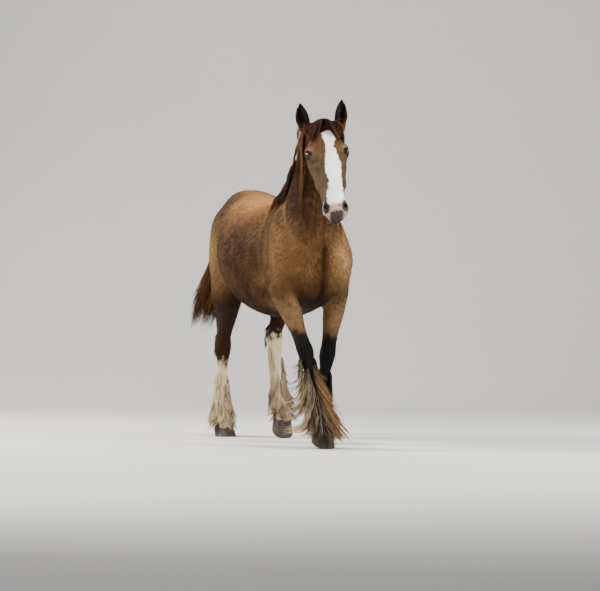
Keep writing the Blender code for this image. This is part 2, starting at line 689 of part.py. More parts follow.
def make_ear(side, name, head, work, horse):
    """One ear: a leaf-shaped horn with its cup cut from the front, parted from the skull."""
    rows, cup = [], []
    for rise, half, depth in (
        (-0.010, 0.022, 0.024),
        (0.022, 0.026, 0.026),
        (0.058, 0.031, 0.025),
        (0.094, 0.029, 0.020),
        (0.124, 0.020, 0.013),
        (0.146, 0.010, 0.006),
        (0.158, 0.003, 0.002),
    ):
        bend = -side * 9.0 * rise**3
        lean = -4.0 * rise**3
        rows.append((bend, lean - depth, rise, lean + depth, rise, half, 2.0, 0.10))
        if 0 < rise < 0.130:
            back = lean + depth - EAR_WALL
            inside = half - EAR_WALL * 0.6
            cup.append((bend, lean - depth - 0.030, rise + 0.014, back, rise + 0.010, inside, 2.0, 0.0))
    cup.insert(0, (0, -0.050, 0.016, -0.016, 0.012, 0.006, 2.0, 0.0))
    cup.append((-side * 0.024, -0.040, 0.144, -0.008, 0.144, 0.004, 2.0, 0.0))
    ear = add_loft(name, rows, horse, ear_matrix(side), 10, 1)
    hollow = add_loft("ear_cup", cup, work, ear_matrix(side), 8, 1)
    boolean(ear, [hollow], "DIFFERENCE")
    boolean(ear, [swollen_copy(head, "skull", GAP, work)], "DIFFERENCE")
    return keep_largest(ear)


def make_hoof(hoof, name, collection):
    """A hoof as a loft of four rings from sole to coronet, with a flat sole or a small toe flat."""
    rows = (
        (0, 0.000, 0.0, SOLE_LENGTH, 0.0, SOLE_HALF_WIDTH, 2.2, 0.05),
        (0, 0.022, 0.026, SOLE_LENGTH + 0.010, 0.012, SOLE_HALF_WIDTH - 0.003, 2.2, 0.05),
        (0, 0.042, 0.052, SOLE_LENGTH + 0.019, 0.024, SOLE_HALF_WIDTH - 0.007, 2.2, 0.05),
        (0, CORONET_FRONT, TOE_RISE, CORONET_BACK, HEEL_RISE, CORONET_HALF_WIDTH, 2.1, 0.0),
    )
    obj = add_loft(name, rows, collection, hoof_matrix(hoof), 18, 1)
    work = bmesh.new()
    work.from_mesh(obj.data)
    geometry = work.verts[:] + work.edges[:] + work.faces[:]
    cut = bmesh.ops.bisect_plane(
        work, geom=geometry, dist=0.00001, plane_co=(0, 0, 0), plane_no=(0, 0, -1), clear_outer=True
    )
    rim = [part for part in cut["geom_cut"] if isinstance(part, bmesh.types.BMEdge) and part.is_boundary]
    if rim:
        bmesh.ops.contextual_create(work, geom=rim)
    bmesh.ops.recalc_face_normals(work, faces=work.faces)
    work.to_mesh(obj.data)
    work.free()
    return obj


def part_body(body, work, horse):
    """Cuts the fused flesh into torso, neck, and an upper and a lower part of each leg."""
    cutters = [
        ribbon_cutter("throat_cut", THROAT_LINE, 0.30, work),
        ribbon_cutter("collar_cut", COLLAR_LINE, 0.40, work),
    ]
    places = {}
    legs = (
        ("fore_right", FORE_RIGHT, HOOF_FORE_RIGHT, 0.30),
        ("fore_left", FORE_LEFT, HOOF_FORE_LEFT, 0.34),
        ("hind_right", HIND_RIGHT, HOOF_HIND_RIGHT, 0.36),
        ("hind_left", HIND_LEFT, HOOF_HIND_LEFT, 0.46),
    )
    for name, joints, hoof, share in legs:
        top, middle, fetlock = (Vector(j) for j in joints)
        coronet, normal = coronet_of(hoof)
        start = top.lerp(middle, share)
        slope = middle - top
        slope.y *= 0.5
        cutters.append(slab_cutter("upper_cut", start, slope, 0.16, work))
        joint_normal = (middle - top).normalized() + (fetlock - middle).normalized()
        cutters.append(slab_cutter("middle_cut", middle, joint_normal, 0.10, work))
        cutters.append(slab_cutter("coronet_cut", coronet + normal * GAP, normal, 0.09, work))
        places[name + "_upper"] = start.lerp(middle, 0.5)
        places[name + "_lower"] = middle.lerp(fetlock, 0.6)
    places["torso"] = Vector((0, 0.1, 1.02))
    places["neck"] = Vector((0, -0.44, 1.36))
    boolean(body, cutters, "DIFFERENCE", "EXACT")
    pieces = islands(body)
    made = {}
    for name, place in places.items():
        nearest = min(pieces, key=lambda faces: (centre_of(body, faces) - place).length)
        made[name] = keep_largest(take_faces(body, nearest, name, horse))
    bpy.data.objects.remove(body, do_unlink=True)
    return made


def add_lock(path, facing, size, collection, scale=1.0):
    """One flat lock along a path of points: a lens section that swells from the root and tapers
    to a point. Its flat side faces along the vectors in `facing`, one for each path point."""
    _, half_width, half_thick = LOCK_SIZES[size]
    fine = catmull_rom(path, 3)
    faces_to = catmull_rom(facing, 3)
    pick = np.linspace(0, len(fine) - 1, LOCK_RINGS + 1).round().astype(int)
    centre, normal = fine[pick], faces_to[pick]
    run = np.gradient(centre, axis=0)
    run /= np.linalg.norm(run, axis=1)[:, None]
    across = np.cross(run, normal)
    across /= np.linalg.norm(across, axis=1)[:, None]
    normal = np.cross(across, run)
    s = np.linspace(0, 1, LOCK_RINGS + 1)
    swell = (0.62 + 0.38 * np.sin(math.pi * np.minimum(s * 1.35, 0.5))) * (1 - s**2.4) ** 0.75 * scale
    wide = (half_width * swell)[:, None]
    thick = (half_thick * swell)[:, None]
    across, normal = across * wide, normal * thick
    rings = np.stack([centre + across, centre + normal, centre - across, centre - normal], 1)[:-1]
    n = len(rings)
    points = np.vstack([rings.reshape(-1, 3), centre[-1]])
    faces = [[0, 1, 2, 3]]
    for k in range(n - 1):
        for q in range(4):
            r = (q + 1) % 4
            faces.append([k * 4 + q, k * 4 + r, (k + 1) * 4 + r, (k + 1) * 4 + q])
    faces += [[(n - 1) * 4 + q, (n - 1) * 4 + (q + 1) % 4, n * 4] for q in range(4)]
    return add_mesh("lock", points, faces, collection)


def lay_on(tree, guides):
    """Lays guide points on a surface. A guide is a point and a height: sunk when the height is
    negative, above the skin when it is positive, and left where it is when the height is None."""
    path, facing = [], []
    last = Vector((0, 0, 1))
    for point, height in guides:
        place, normal = tree.find_nearest(Vector(point))[:2]
        if height is None:
            path.append(tuple(point))
            facing.append(tuple(last))
            continue
        path.append(tuple(place + normal * height))
        facing.append(tuple(normal))
        last = normal
    return path, facing


def mane_locks(tree, chance, collection):
    """Locks from the crest: most fall down the left side of the neck, some to the right at the
    withers and close behind the right ear."""
    crest = catmull_rom([(row[1], row[2]) for row in NECK[1:7]], 6)
    locks = []
    for k in range(MANE_LOCKS):
        at = k / (MANE_LOCKS - 1)
        y, z = crest[int(at * (len(crest) - 1))]
        right = k in (1, 3, 11)
        side = -1 if right else 1
        size = "mane_short" if right or k > 11 or k == 0 else "mane"
        length = LOCK_SIZES[size][0] * chance.uniform(0.85, 1.1)
        drift = chance.uniform(-0.03, 0.02) - 0.02 * at
        guides = [((0.0, y, z), -0.020), ((0.012 * side, y - 0.004, z + 0.004), 0.004)]
        for step, rise in ((0.22, 0.010), (0.48, 0.013), (0.75, 0.012), (1.0, 0.010)):
            fall = length * step
            guides.append(((0.16 * side, y + drift * step - 0.02 * step, z - fall), rise))
        path, facing = lay_on(tree, guides)
        locks.append(add_lock(path, facing, size, collection, chance.uniform(0.9, 1.15)))
    return locks


def forelock_locks(tree, chance, collection):
    """Locks from between the ears, parted in the middle and swept down and out to both sides."""
    locks = []
    for side in (-1, 1):
        for k in range(FORELOCK_LOCKS // 2):
            start = 0.005 + 0.009 * k
            reach = 0.058 + 0.015 * k + chance.uniform(-0.005, 0.005)
            low = -0.168 + 0.022 * k + chance.uniform(-0.010, 0.006)
            guides = (
                ((start * side, 0.008, -0.004), -0.014),
                (((start + 0.008) * side, -0.026, 0.010), 0.007),
                (((start * 0.45 + reach * 0.55) * side, low * 0.42, 0.014), 0.010),
                (((start * 0.12 + reach * 0.88) * side, low * 0.72, -0.002), 0.010),
                (((reach + 0.010) * side, low, -0.012), 0.006),
            )
            placed = [(HEAD_MATRIX @ Vector(point), height) for point, height in guides]
            path, facing = lay_on(tree, placed)
            locks.append(add_lock(path, facing, "forelock", collection, chance.uniform(0.9, 1.2)))
    return locks


def tail_locks(chance, collection):
    """Locks from the dock, hanging back and to the right down to the hocks."""
    spine = catmull_rom([((row[1] + row[3]) / 2, (row[2] + row[4]) / 2, row[0]) for row in DOCK], 6)
    locks = []
    for k in range(TAIL_LOCKS):
        y, z, x = spine[int(4 + (k % 5) * 5)]
        turn = k * 2.4 + chance.uniform(-0.3, 0.3)
        out = Vector((math.cos(turn), math.sin(turn) * 0.9, 0.0))
        low = 0.635 + 0.022 * (k % 4) + chance.uniform(-0.01, 0.02)
        tip = Vector((-0.130 + 0.052 * out.x, 1.000 + 0.050 * out.y, low))
        root = Vector((x, y, z)) + out * 0.008
        drop = tip - root
        swing = Vector((-0.010, 0.030, 0.0))
        path = [root, root + drop * 0.10 + out * 0.030 + Vector((0, 0.02, 0))]
        for f in (0.35, 0.6, 0.82):
            path.append(root + drop * f + out * 0.034 * (1 - 0.4 * f) + swing * 4 * f * (1 - f))
        path.append(tip)
        facing = [out] * len(path)
        locks.append(add_lock([tuple(p) for p in path], [tuple(v) for v in facing], "tail", collection, 1.0))
    return locks


def feather_core(joints, hoof, reach, floor):
    """The dense inner feather: a bell round the fetlock and pastern, half way out to the tips."""
    fx, fy, fz = joints[2]
    cx, cy, _ = coronet_of(hoof)[0]
    ux, uy, uz = between(joints[1], joints[2], 0.70)
    mx, my, mz = between(joints[1], joints[2], 0.85)
    end = floor + (fz - floor) * 0.48
    half = 0.042 + (reach - 0.042) * 0.28
    waist = (fz + end) / 2
    return (
        (ux, uy - 0.016, uz, uy + 0.018, uz - 0.005, 0.016, 2.0, 0.0),
        (mx, my - 0.036, mz, my + 0.042, mz - 0.008, 0.036, 2.0, 0.0),
        (fx, fy - 0.046, fz, fy + 0.060, fz - 0.010, 0.048, 2.0, 0.0),
        (cx, cy - half * 0.95, waist, cy + half * 1.1, waist - 0.010, half * 0.92, 2.0, 0.0),
        (cx, cy - half * 0.9, end, cy + half * 1.05, end - 0.006, half * 0.85, 2.0, 0.0),
    )


def feather_locks(name, joints, hoof, chance, collection):
    """Tiers of locks round the lower leg that lie down it and spread over the hoof like a bell."""
    middle, fetlock = Vector(joints[1]), Vector(joints[2])
    coronet = coronet_of(hoof)[0]
    locks = []
    for tier, (share, count, first, last, size, reach, floor) in enumerate(FEATHER[name]):
        base = middle.lerp(fetlock, share) if share <= 1 else fetlock.lerp(coronet, share - 1 + 0.35)
        for k in range(count):
            bearing = math.radians(first + (last - first) * (k + 0.5 * (tier % 2)) / max(count - 1, 1))
            bearing += chance.uniform(-0.08, 0.08)
            out = Vector((math.sin(bearing), math.cos(bearing) * 0.95, 0))
            root = base + out * 0.014 + Vector((0, 0, chance.uniform(-0.012, 0.012)))
            tip_reach = reach * chance.uniform(0.86, 1.08)
            tip = Vector((coronet.x, coronet.y, 0)) + out * tip_reach
            if share < 0.5:
                tip = Vector((fetlock.x, fetlock.y, 0)) + out * tip_reach
            tip.z = floor + chance.uniform(0.0, 0.035)
            path, facing = [root], [out]
            for f in (0.16, 0.38, 0.62, 0.84):
                level = root.z + (tip.z - root.z) * f
                if level > fetlock.z:
                    g = (middle.z - level) / (middle.z - fetlock.z)
                    axis = middle.lerp(fetlock, g)
                else:
                    g = (fetlock.z - level) / max(fetlock.z - coronet.z, 0.01)
                    axis = fetlock.lerp(coronet, min(g, 1.0))
                stand = 0.034 + 0.012 * min(f / 0.4, 1) + (tip_reach - 0.046) * f**2.6
                path.append(Vector((axis.x, axis.y, level)) + out * stand)
                facing.append(out)
            path.append(tip)
            facing.append((out + Vector((0, 0, 0.5))).normalized())
            scale = chance.uniform(0.9, 1.15)
            path, facing = [tuple(p) for p in path], [tuple(v) for v in facing]
            locks.append(add_lock(path, facing, size, collection, scale))
    return locks


def clear_of(obj, neighbours, collection):
    """Cuts an object clear of its neighbours by a little less than the gap between parts."""
    for other in neighbours:
        boolean(obj, [swollen_copy(other, "room", GAP * 0.85, collection)], "DIFFERENCE")
    return keep_largest(obj)


def add_hair(made, flesh_tree, work):
    """Fuses the locks into the parts they grow from, and cuts them clear of the other parts."""
    chance = random.Random(LOCK_SEED)
    ears = [made["ear_left"], made["ear_right"]]
    head_tree = BVHTree.FromObject(made["head"], bpy.context.evaluated_depsgraph_get())
    boolean(made["head"], forelock_locks(head_tree, chance, work), "UNION")
    clear_of(made["head"], ears + [made["eye_left"], made["eye_right"]], work)
    boolean(made["neck"], mane_locks(flesh_tree, chance, work), "UNION")
    clear_of(made["neck"], [made["torso"], made["head"]] + ears, work)
    feet = (
        ("fore_right", FORE_RIGHT, HOOF_FORE_RIGHT),
        ("fore_left", FORE_LEFT, HOOF_FORE_LEFT),
        ("hind_right", HIND_RIGHT, HOOF_HIND_RIGHT),
        ("hind_left", HIND_LEFT, HOOF_HIND_LEFT),
    )
    for name, joints, hoof in feet:
        lower = made[name + "_lower"]
        last = FEATHER[name][-1]
        core = add_loft("core", feather_core(joints, hoof, last[5], last[6]), work, None, 10, 1)
        boolean(lower, [core] + feather_locks(name, joints, hoof, chance, work), "UNION")
        clear_of(lower, [made[name + "_hoof"]], work)
    boolean(made["tail"], tail_locks(chance, work), "UNION")
    clear_of(made["tail"], [made["torso"]], work)


def finish(made):
    """Materials, smooth shading, and the origin under the middle of the horse's box."""
    coat = material("bay coat", BAY, 0.75)
    black = material("black hair", BLACK_HAIR, 0.6)
    rust = material("rust hair", RUST_HAIR, 0.6)
    cream = material("cream feather", CREAM_HAIR, 0.8)
    horn = material("hoof horn", HORN, 0.5)
    eye = material("wet eye", EYE_BROWN, 0.1)
    ear = material("ear hair", EAR_BROWN, 0.7)
    low = np.full(3, 9.0)
    high = np.full(3, -9.0)
    for obj in made.values():
        points = np.array([tuple(v.co) for v in obj.data.vertices])
        low, high = np.minimum(low, points.min(0)), np.maximum(high, points.max(0))
    shift = Matrix.Translation((-(low[0] + high[0]) / 2, -(low[1] + high[1]) / 2, -low[2]))
    for name, obj in made.items():
        obj.data.transform(shift)
        chosen = coat
        if name.endswith("hoof"):
            chosen = horn
        elif name.startswith("eye"):
            chosen = eye
        elif name == "tail":
            chosen = rust
        elif name.startswith("ear"):
            chosen = ear
        elif name.startswith("fore") and name.endswith("lower"):
            chosen = black
        elif name.startswith("hind") and name.endswith("lower"):
            chosen = cream
        obj.data.materials.clear()
        obj.data.materials.append(chosen)
        obj.data.shade_smooth()
        obj.data.set_sharp_from_angle(angle=math.radians(50))


def main():
    clear_scene()
    work = bpy.data.collections.new("work")
    horse = bpy.data.collections.new("gypsy_vanner_horse")
    bpy.context.scene.collection.children.link(work)
    bpy.context.scene.collection.children.link(horse)
    body_parts = body_forms(work) + head_forms(work)
    body = fuse("body", body_parts, FLESH_VOXEL, 8, FLESH_TRIANGLES, work)
    flesh_tree = BVHTree.FromObject(body, bpy.context.evaluated_depsgraph_get())
    made = part_body(body, work, horse)
    made["head"] = make_head(work, horse)
    for side, word in ((1, "left"), (-1, "right")):
        made["eye_" + word] = add_eye(side, "eye_" + word, horse)
        made["ear_" + word] = make_ear(side, "ear_" + word, made["head"], work, horse)
    hooves = (
        ("fore_right", HOOF_FORE_RIGHT),
        ("fore_left", HOOF_FORE_LEFT),
        ("hind_right", HOOF_HIND_RIGHT),
        ("hind_left", HOOF_HIND_LEFT),
    )
    for name, hoof in hooves:
        made[name + "_hoof"] = make_hoof(hoof, name + "_hoof", horse)
    made["tail"] = add_loft("tail", DOCK, horse, None, 10, 2)
    add_hair(made, flesh_tree, work)
    finish(made)


main()
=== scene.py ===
import math

import bmesh
import bpy
import numpy as np
from mathutils import Matrix, Vector
from mathutils.bvhtree import BVHTree


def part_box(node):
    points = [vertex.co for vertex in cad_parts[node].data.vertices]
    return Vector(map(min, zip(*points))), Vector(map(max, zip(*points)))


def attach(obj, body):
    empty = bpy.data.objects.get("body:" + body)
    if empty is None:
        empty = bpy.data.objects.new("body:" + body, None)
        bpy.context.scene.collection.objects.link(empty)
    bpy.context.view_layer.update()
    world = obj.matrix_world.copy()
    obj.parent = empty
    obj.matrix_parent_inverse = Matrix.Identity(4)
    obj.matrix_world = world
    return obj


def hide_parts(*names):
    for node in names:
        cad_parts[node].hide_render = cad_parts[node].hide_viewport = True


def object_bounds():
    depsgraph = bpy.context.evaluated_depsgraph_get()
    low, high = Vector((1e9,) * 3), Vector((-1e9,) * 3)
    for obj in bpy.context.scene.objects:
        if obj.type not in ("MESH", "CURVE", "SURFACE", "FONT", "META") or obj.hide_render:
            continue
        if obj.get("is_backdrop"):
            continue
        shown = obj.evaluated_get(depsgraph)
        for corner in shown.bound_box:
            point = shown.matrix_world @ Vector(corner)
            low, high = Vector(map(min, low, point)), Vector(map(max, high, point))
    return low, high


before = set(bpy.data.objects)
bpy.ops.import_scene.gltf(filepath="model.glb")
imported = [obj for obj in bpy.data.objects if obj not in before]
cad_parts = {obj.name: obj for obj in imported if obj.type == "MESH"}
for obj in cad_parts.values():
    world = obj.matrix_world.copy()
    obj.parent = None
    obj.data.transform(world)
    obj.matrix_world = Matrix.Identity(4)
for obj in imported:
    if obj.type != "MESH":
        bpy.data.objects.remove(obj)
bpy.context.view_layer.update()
chance = np.random.default_rng(5)

# Skin. One hide over the whole horse, from the lips to the coronets, in place of the flesh parts.
# It is worked up from closed forms for the trunk, neck, limbs and skull, which are fused, relaxed
# and then given the muscles, bones and folds that show through a short coat.
POLL = Vector((-0.006, -0.640, 1.735))
HEAD_SIZE = 0.975
HEAD_TURN = (
    Matrix.Translation(POLL)
    @ Matrix.Rotation(math.radians(-14.5), 4, "Z")
    @ Matrix.Rotation(math.radians(-5.4), 4, "Y")
)
HEAD_PLACE = HEAD_TURN @ Matrix.Rotation(math.radians(57), 4, "X") @ Matrix.Scale(HEAD_SIZE, 4)
EYE = Vector((0.0965, -0.190, -0.0215))
GAZE = Vector((0.84, -0.22, 0.48))
EYE_RADIUS = 0.021

# Rows of a form: x, y top, z top, y bottom, z bottom, half width, squareness, pear
TRUNK = (
    (0, -0.655, 1.070, -0.650, 0.930, 0.050, 2.0, 0.0),
    (0, -0.630, 1.130, -0.635, 0.855, 0.110, 2.1, 0.0),
    (0, -0.580, 1.200, -0.565, 0.785, 0.150, 2.2, 0.0),
    (0, -0.480, 1.280, -0.460, 0.745, 0.178, 2.2, 0.05),
    (0, -0.360, 1.345, -0.350, 0.720, 0.195, 2.1, 0.12),
    (0, -0.245, 1.370, -0.230, 0.700, 0.220, 2.0, 0.18),
    (0, -0.110, 1.347, -0.100, 0.685, 0.258, 2.0, 0.16),
    (0, 0.030, 1.320, 0.040, 0.685, 0.290, 2.0, 0.10),
    (0, 0.170, 1.320, 0.180, 0.712, 0.300, 2.0, 0.05),
    (0, 0.300, 1.350, 0.310, 0.765, 0.282, 2.0, 0.0),
    (0, 0.420, 1.385, 0.430, 0.830, 0.240, 2.1, -0.04),
    (0, 0.540, 1.398, 0.540, 0.880, 0.195, 2.2, -0.04),
    (0, 0.650, 1.368, 0.640, 0.925, 0.150, 2.1, 0.0),
    (0, 0.735, 1.305, 0.720, 0.980, 0.105, 2.0, 0.0),
    (0, 0.785, 1.235, 0.765, 1.060, 0.045, 2.0, 0.0),
)
NECK = (
    (0, -0.130, 1.330, -0.600, 0.960, 0.150, 2.0, 0.15),
    (0, -0.225, 1.383, -0.655, 1.060, 0.148, 2.0, 0.20),
    (0, -0.300, 1.480, -0.632, 1.190, 0.127, 2.0, 0.22),
    (0, -0.370, 1.582, -0.598, 1.300, 0.106, 2.0, 0.18),
    (0, -0.445, 1.675, -0.562, 1.390, 0.096, 2.0, 0.10),
    (0, -0.525, 1.734, -0.560, 1.470, 0.092, 2.0, 0.0),
    (0, -0.595, 1.750, -0.610, 1.530, 0.084, 2.0, 0.0),
    (0, -0.650, 1.722, -0.660, 1.570, 0.060, 2.0, 0.0),
)
SKULL = (
    (0, 0.020, -0.045, 0.020, -0.170, 0.058, 2.0, 0.0),
    (0, -0.030, -0.010, -0.020, -0.215, 0.080, 2.1, 0.0),
    (0, -0.090, 0.010, -0.085, -0.235, 0.097, 2.3, -0.08),
    (0, -0.150, 0.015, -0.150, -0.238, 0.109, 2.6, -0.16),
    (0, -0.205, 0.012, -0.205, -0.222, 0.107, 2.7, -0.14),
    (0, -0.265, 0.005, -0.265, -0.195, 0.093, 2.5, -0.06),
    (0, -0.325, -0.003, -0.325, -0.170, 0.081, 2.3, 0.0),
    (0, -0.385, -0.008, -0.385, -0.153, 0.071, 2.2, 0.05),
    (0, -0.445, -0.013, -0.445, -0.144, 0.064, 2.2, 0.05),
    (0, -0.505, -0.019, -0.505, -0.136, 0.060, 2.2, 0.0),
    (0, -0.545, -0.030, -0.545, -0.126, 0.058, 2.2, 0.0),
    (0, -0.571, -0.045, -0.570, -0.118, 0.050, 2.1, 0.0),
    (0, -0.585, -0.066, -0.584, -0.104, 0.030, 2.0, 0.0),
)
# Swellings of the skull: centre, radii, pitch and yaw, for the left side and mirrored
SWELLINGS = {
    "jowl": ((0.062, -0.150, -0.170), (0.040, 0.105, 0.088), -8, 4),
    "orbit": ((0.084, -0.180, -0.038), (0.040, 0.064, 0.042), -8, 6),
    "cheek_crest": ((0.056, -0.300, -0.078), (0.024, 0.090, 0.020), 6, -10),
    "nostril_wing": ((0.043, -0.530, -0.062), (0.027, 0.046, 0.036), 16, -4),
    "ear_base": ((0.070, -0.010, -0.045), (0.036, 0.045, 0.040), 0, 0),
}
LIPS = {
    "upper_lip": ((0, -0.564, -0.092), (0.046, 0.030, 0.026), 0, 0),
    "lower_lip": ((0, -0.547, -0.131), (0.037, 0.036, 0.018), -4, 0),
    "chin": ((0, -0.520, -0.144), (0.032, 0.034, 0.021), 0, 0),
}
# Legs: elbow or stifle, knee or hock, fetlock; and hooves: toe x, toe y, turn, lift of the heel
LEGS = {
    "fore_right": (((-0.178, -0.475, 0.835), (-0.113, -0.655, 0.515), (-0.078, -0.752, 0.205)),
                   (-0.062, -0.872, 3, 22)),
    "fore_left": (((0.176, -0.365, 0.850), (0.142, -0.312, 0.485), (0.128, -0.262, 0.165)),
                  (0.122, -0.352, -3, 0)),
    "hind_right": (((-0.165, 0.415, 0.835), (-0.118, 0.665, 0.522), (-0.106, 0.728, 0.170)),
                   (-0.104, 0.580, 5, 0)),
    "hind_left": (((0.162, 0.300, 0.865), (0.138, 0.530, 0.575), (0.130, 0.408, 0.222)),
                  (0.130, 0.322, -3, 38)),
}
TOE_RISE, HEEL_RISE = 0.078, 0.036
SOLE_LENGTH, SOLE_HALF_WIDTH = 0.121, 0.059
CORONET_FRONT, CORONET_BACK, CORONET_HALF_WIDTH = 0.062, 0.146, 0.048
SKIN_VOXEL = 0.0038
SKIN_TRIANGLES = 192000
COAT_DEPTH = 0.003

eye_low, eye_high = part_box("eye_left")
PLACE = Matrix.Translation((Vector(eye_low) + Vector(eye_high)) / 2 - HEAD_PLACE @ EYE)
SHIFT = np.array(PLACE.translation)


def drawn_out(rows, along):
    """Catmull-Rom curve through rows of numbers, with `along` steps between each two."""
    rows = np.array(rows, float)
    count = len(rows)
    padded = np.vstack([2 * rows[0] - rows[1], rows, 2 * rows[-1] - rows[-2]])
    t = np.linspace(0, count - 1, (count - 1) * along + 1)
    i = np.minimum(t.astype(int), count - 2)
    f = (t - i)[:, None]
    a, b, c, d = padded[i], padded[i + 1], padded[i + 2], padded[i + 3]
    return 0.5 * (2 * b + (c - a) * f + (2 * a - 5 * b + 4 * c - d) * f**2 + (3 * b - a - 3 * c + d) * f**3)


def form_rings(rows, around=48, along=8):
    """Rings round a form: each is a superellipse between the row's top and bottom points, its
    half width made larger towards the bottom by the pear."""
    x, y1, z1, y2, z2, half, square, pear = (c[:, None] for c in drawn_out(rows, along).T)
    angle = np.linspace(0, 2 * math.pi, around, endpoint=False)[None, :]
    side, up = np.cos(angle), np.sin(angle)
    reach = (np.abs(side) ** square + np.abs(up) ** square) ** (-1 / square)
    side, up = side * reach, up * reach
    px = x + np.maximum(half, 0.001) * side * (1 - pear * up)
    return np.stack([px, (y1 + y2) / 2 + (y1 - y2) / 2 * up, (z1 + z2) / 2 + (z1 - z2) / 2 * up], 2)


def ring_faces(n, m):
    """Quads between n closed rings of m points, and a fan at each end to the two last points."""
    k, j = np.meshgrid(np.arange(n - 1), np.arange(m), indexing="ij")
    right = (j + 1) % m
    quads = np.stack([k * m + j, k * m + right, (k + 1) * m + right, (k + 1) * m + j], 2).reshape(-1, 4)
    q = np.arange(m)
    first = np.stack([(q + 1) % m, q, np.full(m, n * m)], 1)
    last = np.stack([(n - 1) * m + q, (n - 1) * m + (q + 1) % m, np.full(m, n * m + 1)], 1)
    return quads.tolist() + first.tolist() + last.tolist()


def linked(name, data):
    """An object for a mesh, lamp or camera, linked into the scene."""
    made = bpy.data.objects.new(name, data)
    bpy.context.scene.collection.objects.link(made)
    return made


def new_object(name, points, faces, matrix=None):
    """A mesh object from points and faces, its place in the mesh and its faces turned outwards."""
    mesh = bpy.data.meshes.new(name)
    mesh.from_pydata(np.asarray(points).tolist(), [], faces)
    work = bmesh.new()
    work.from_mesh(mesh)
    if matrix is not None:
        bmesh.ops.transform(work, matrix=matrix, verts=work.verts)
    bmesh.ops.recalc_face_normals(work, faces=work.faces)
    work.to_mesh(mesh)
    work.free()
    return linked(name, mesh)


def form(name, rows, matrix=None, around=48, along=8):
    rings = form_rings(rows, around, along)
    points = np.vstack([rings.reshape(-1, 3), rings[0].mean(0), rings[-1].mean(0)])
    return new_object(name, points, ring_faces(*rings.shape[:2]), matrix)


def ellipsoid(name, centre, radii, pitch=0.0, yaw=0.0, matrix=None, fine=32):
    """An ellipsoid as rings of latitude: sin and cos of two angles times the radii."""
    up = np.linspace(0.06, math.pi - 0.06, fine // 2)[:, None]
    round_ = np.linspace(0, 2 * math.pi, fine, endpoint=False)[None, :]
    ball = [np.sin(up) * np.cos(round_), np.sin(up) * np.sin(round_), np.cos(up) + 0 * round_]
    rings = np.stack(ball, 2)
    points = np.vstack([rings.reshape(-1, 3), [[0, 0, 1], [0, 0, -1]]])
    place = Matrix.Translation(centre) @ Matrix.Rotation(math.radians(yaw), 4, "Z")
    place = place @ Matrix.Rotation(math.radians(pitch), 4, "X") @ Matrix.Diagonal((*radii, 1.0))
    return new_object(name, points, ring_faces(fine // 2, fine), matrix @ place if matrix else place)


def between(a, b, share):
    return tuple(p + (q - p) * share for p, q in zip(a, b))


def lean_of(a, b):
    return math.degrees(math.atan2(a[1] - b[1], a[2] - b[2]))


def limb_rows(stations):
    """Form rows from stations of a leg: middle, depth in front, depth behind, half width, lean."""
    rows = []
    for (x, y, z), front, back, half, lean in stations:
        c, s = math.cos(math.radians(lean)), math.sin(math.radians(lean))
        rows.append((x, y - front * c, z + front * s, y + back * c, z - back * s, half, 2.1, 0.0))
    return rows


def hoof_place(hoof):
    x, y, turn, lift = hoof
    place = Matrix.Translation((x, y, -0.0025 if lift else 0.0))
    place = place @ Matrix.Rotation(math.radians(turn), 4, "Z")
    return place @ Matrix.Rotation(math.radians(lift), 4, "X")


def coronet_of(hoof):
    """Middle of the hoof's top."""
    front = hoof_place(hoof) @ Vector((0, CORONET_FRONT, TOE_RISE))
    return (front + hoof_place(hoof) @ Vector((0, CORONET_BACK, HEEL_RISE))) / 2


def fore_limb(joints, coronet):
    """Forearm, knee, cannon, fetlock and pastern."""
    elbow, knee, fetlock = joints
    up, low, foot = lean_of(elbow, knee), lean_of(knee, fetlock), lean_of(fetlock, coronet)
    return limb_rows((
        (between(elbow, knee, -0.12), 0.100, 0.090, 0.062, up),
        (between(elbow, knee, 0.12), 0.092, 0.074, 0.064, up),
        (between(elbow, knee, 0.38), 0.074, 0.054, 0.060, up),
        (between(elbow, knee, 0.65), 0.054, 0.040, 0.048, up),
        (between(elbow, knee, 0.84), 0.049, 0.036, 0.045, up),
        (knee, 0.051, 0.040, 0.050, (up + low) / 2),
        (between(knee, fetlock, 0.14), 0.041, 0.038, 0.043, low),
        (between(knee, fetlock, 0.32), 0.030, 0.034, 0.033, low),
        (between(knee, fetlock, 0.62), 0.028, 0.033, 0.031, low),
        (between(knee, fetlock, 0.87), 0.032, 0.037, 0.035, low),
        (fetlock, 0.037, 0.044, 0.040, (low + foot) / 2),
        (between(fetlock, coronet, 0.55), 0.030, 0.034, 0.036, foot),
        (coronet, 0.040, 0.040, 0.045, foot * 0.75),
        (between(fetlock, coronet, 1.12), 0.042, 0.041, 0.046, foot * 0.6),
    ))


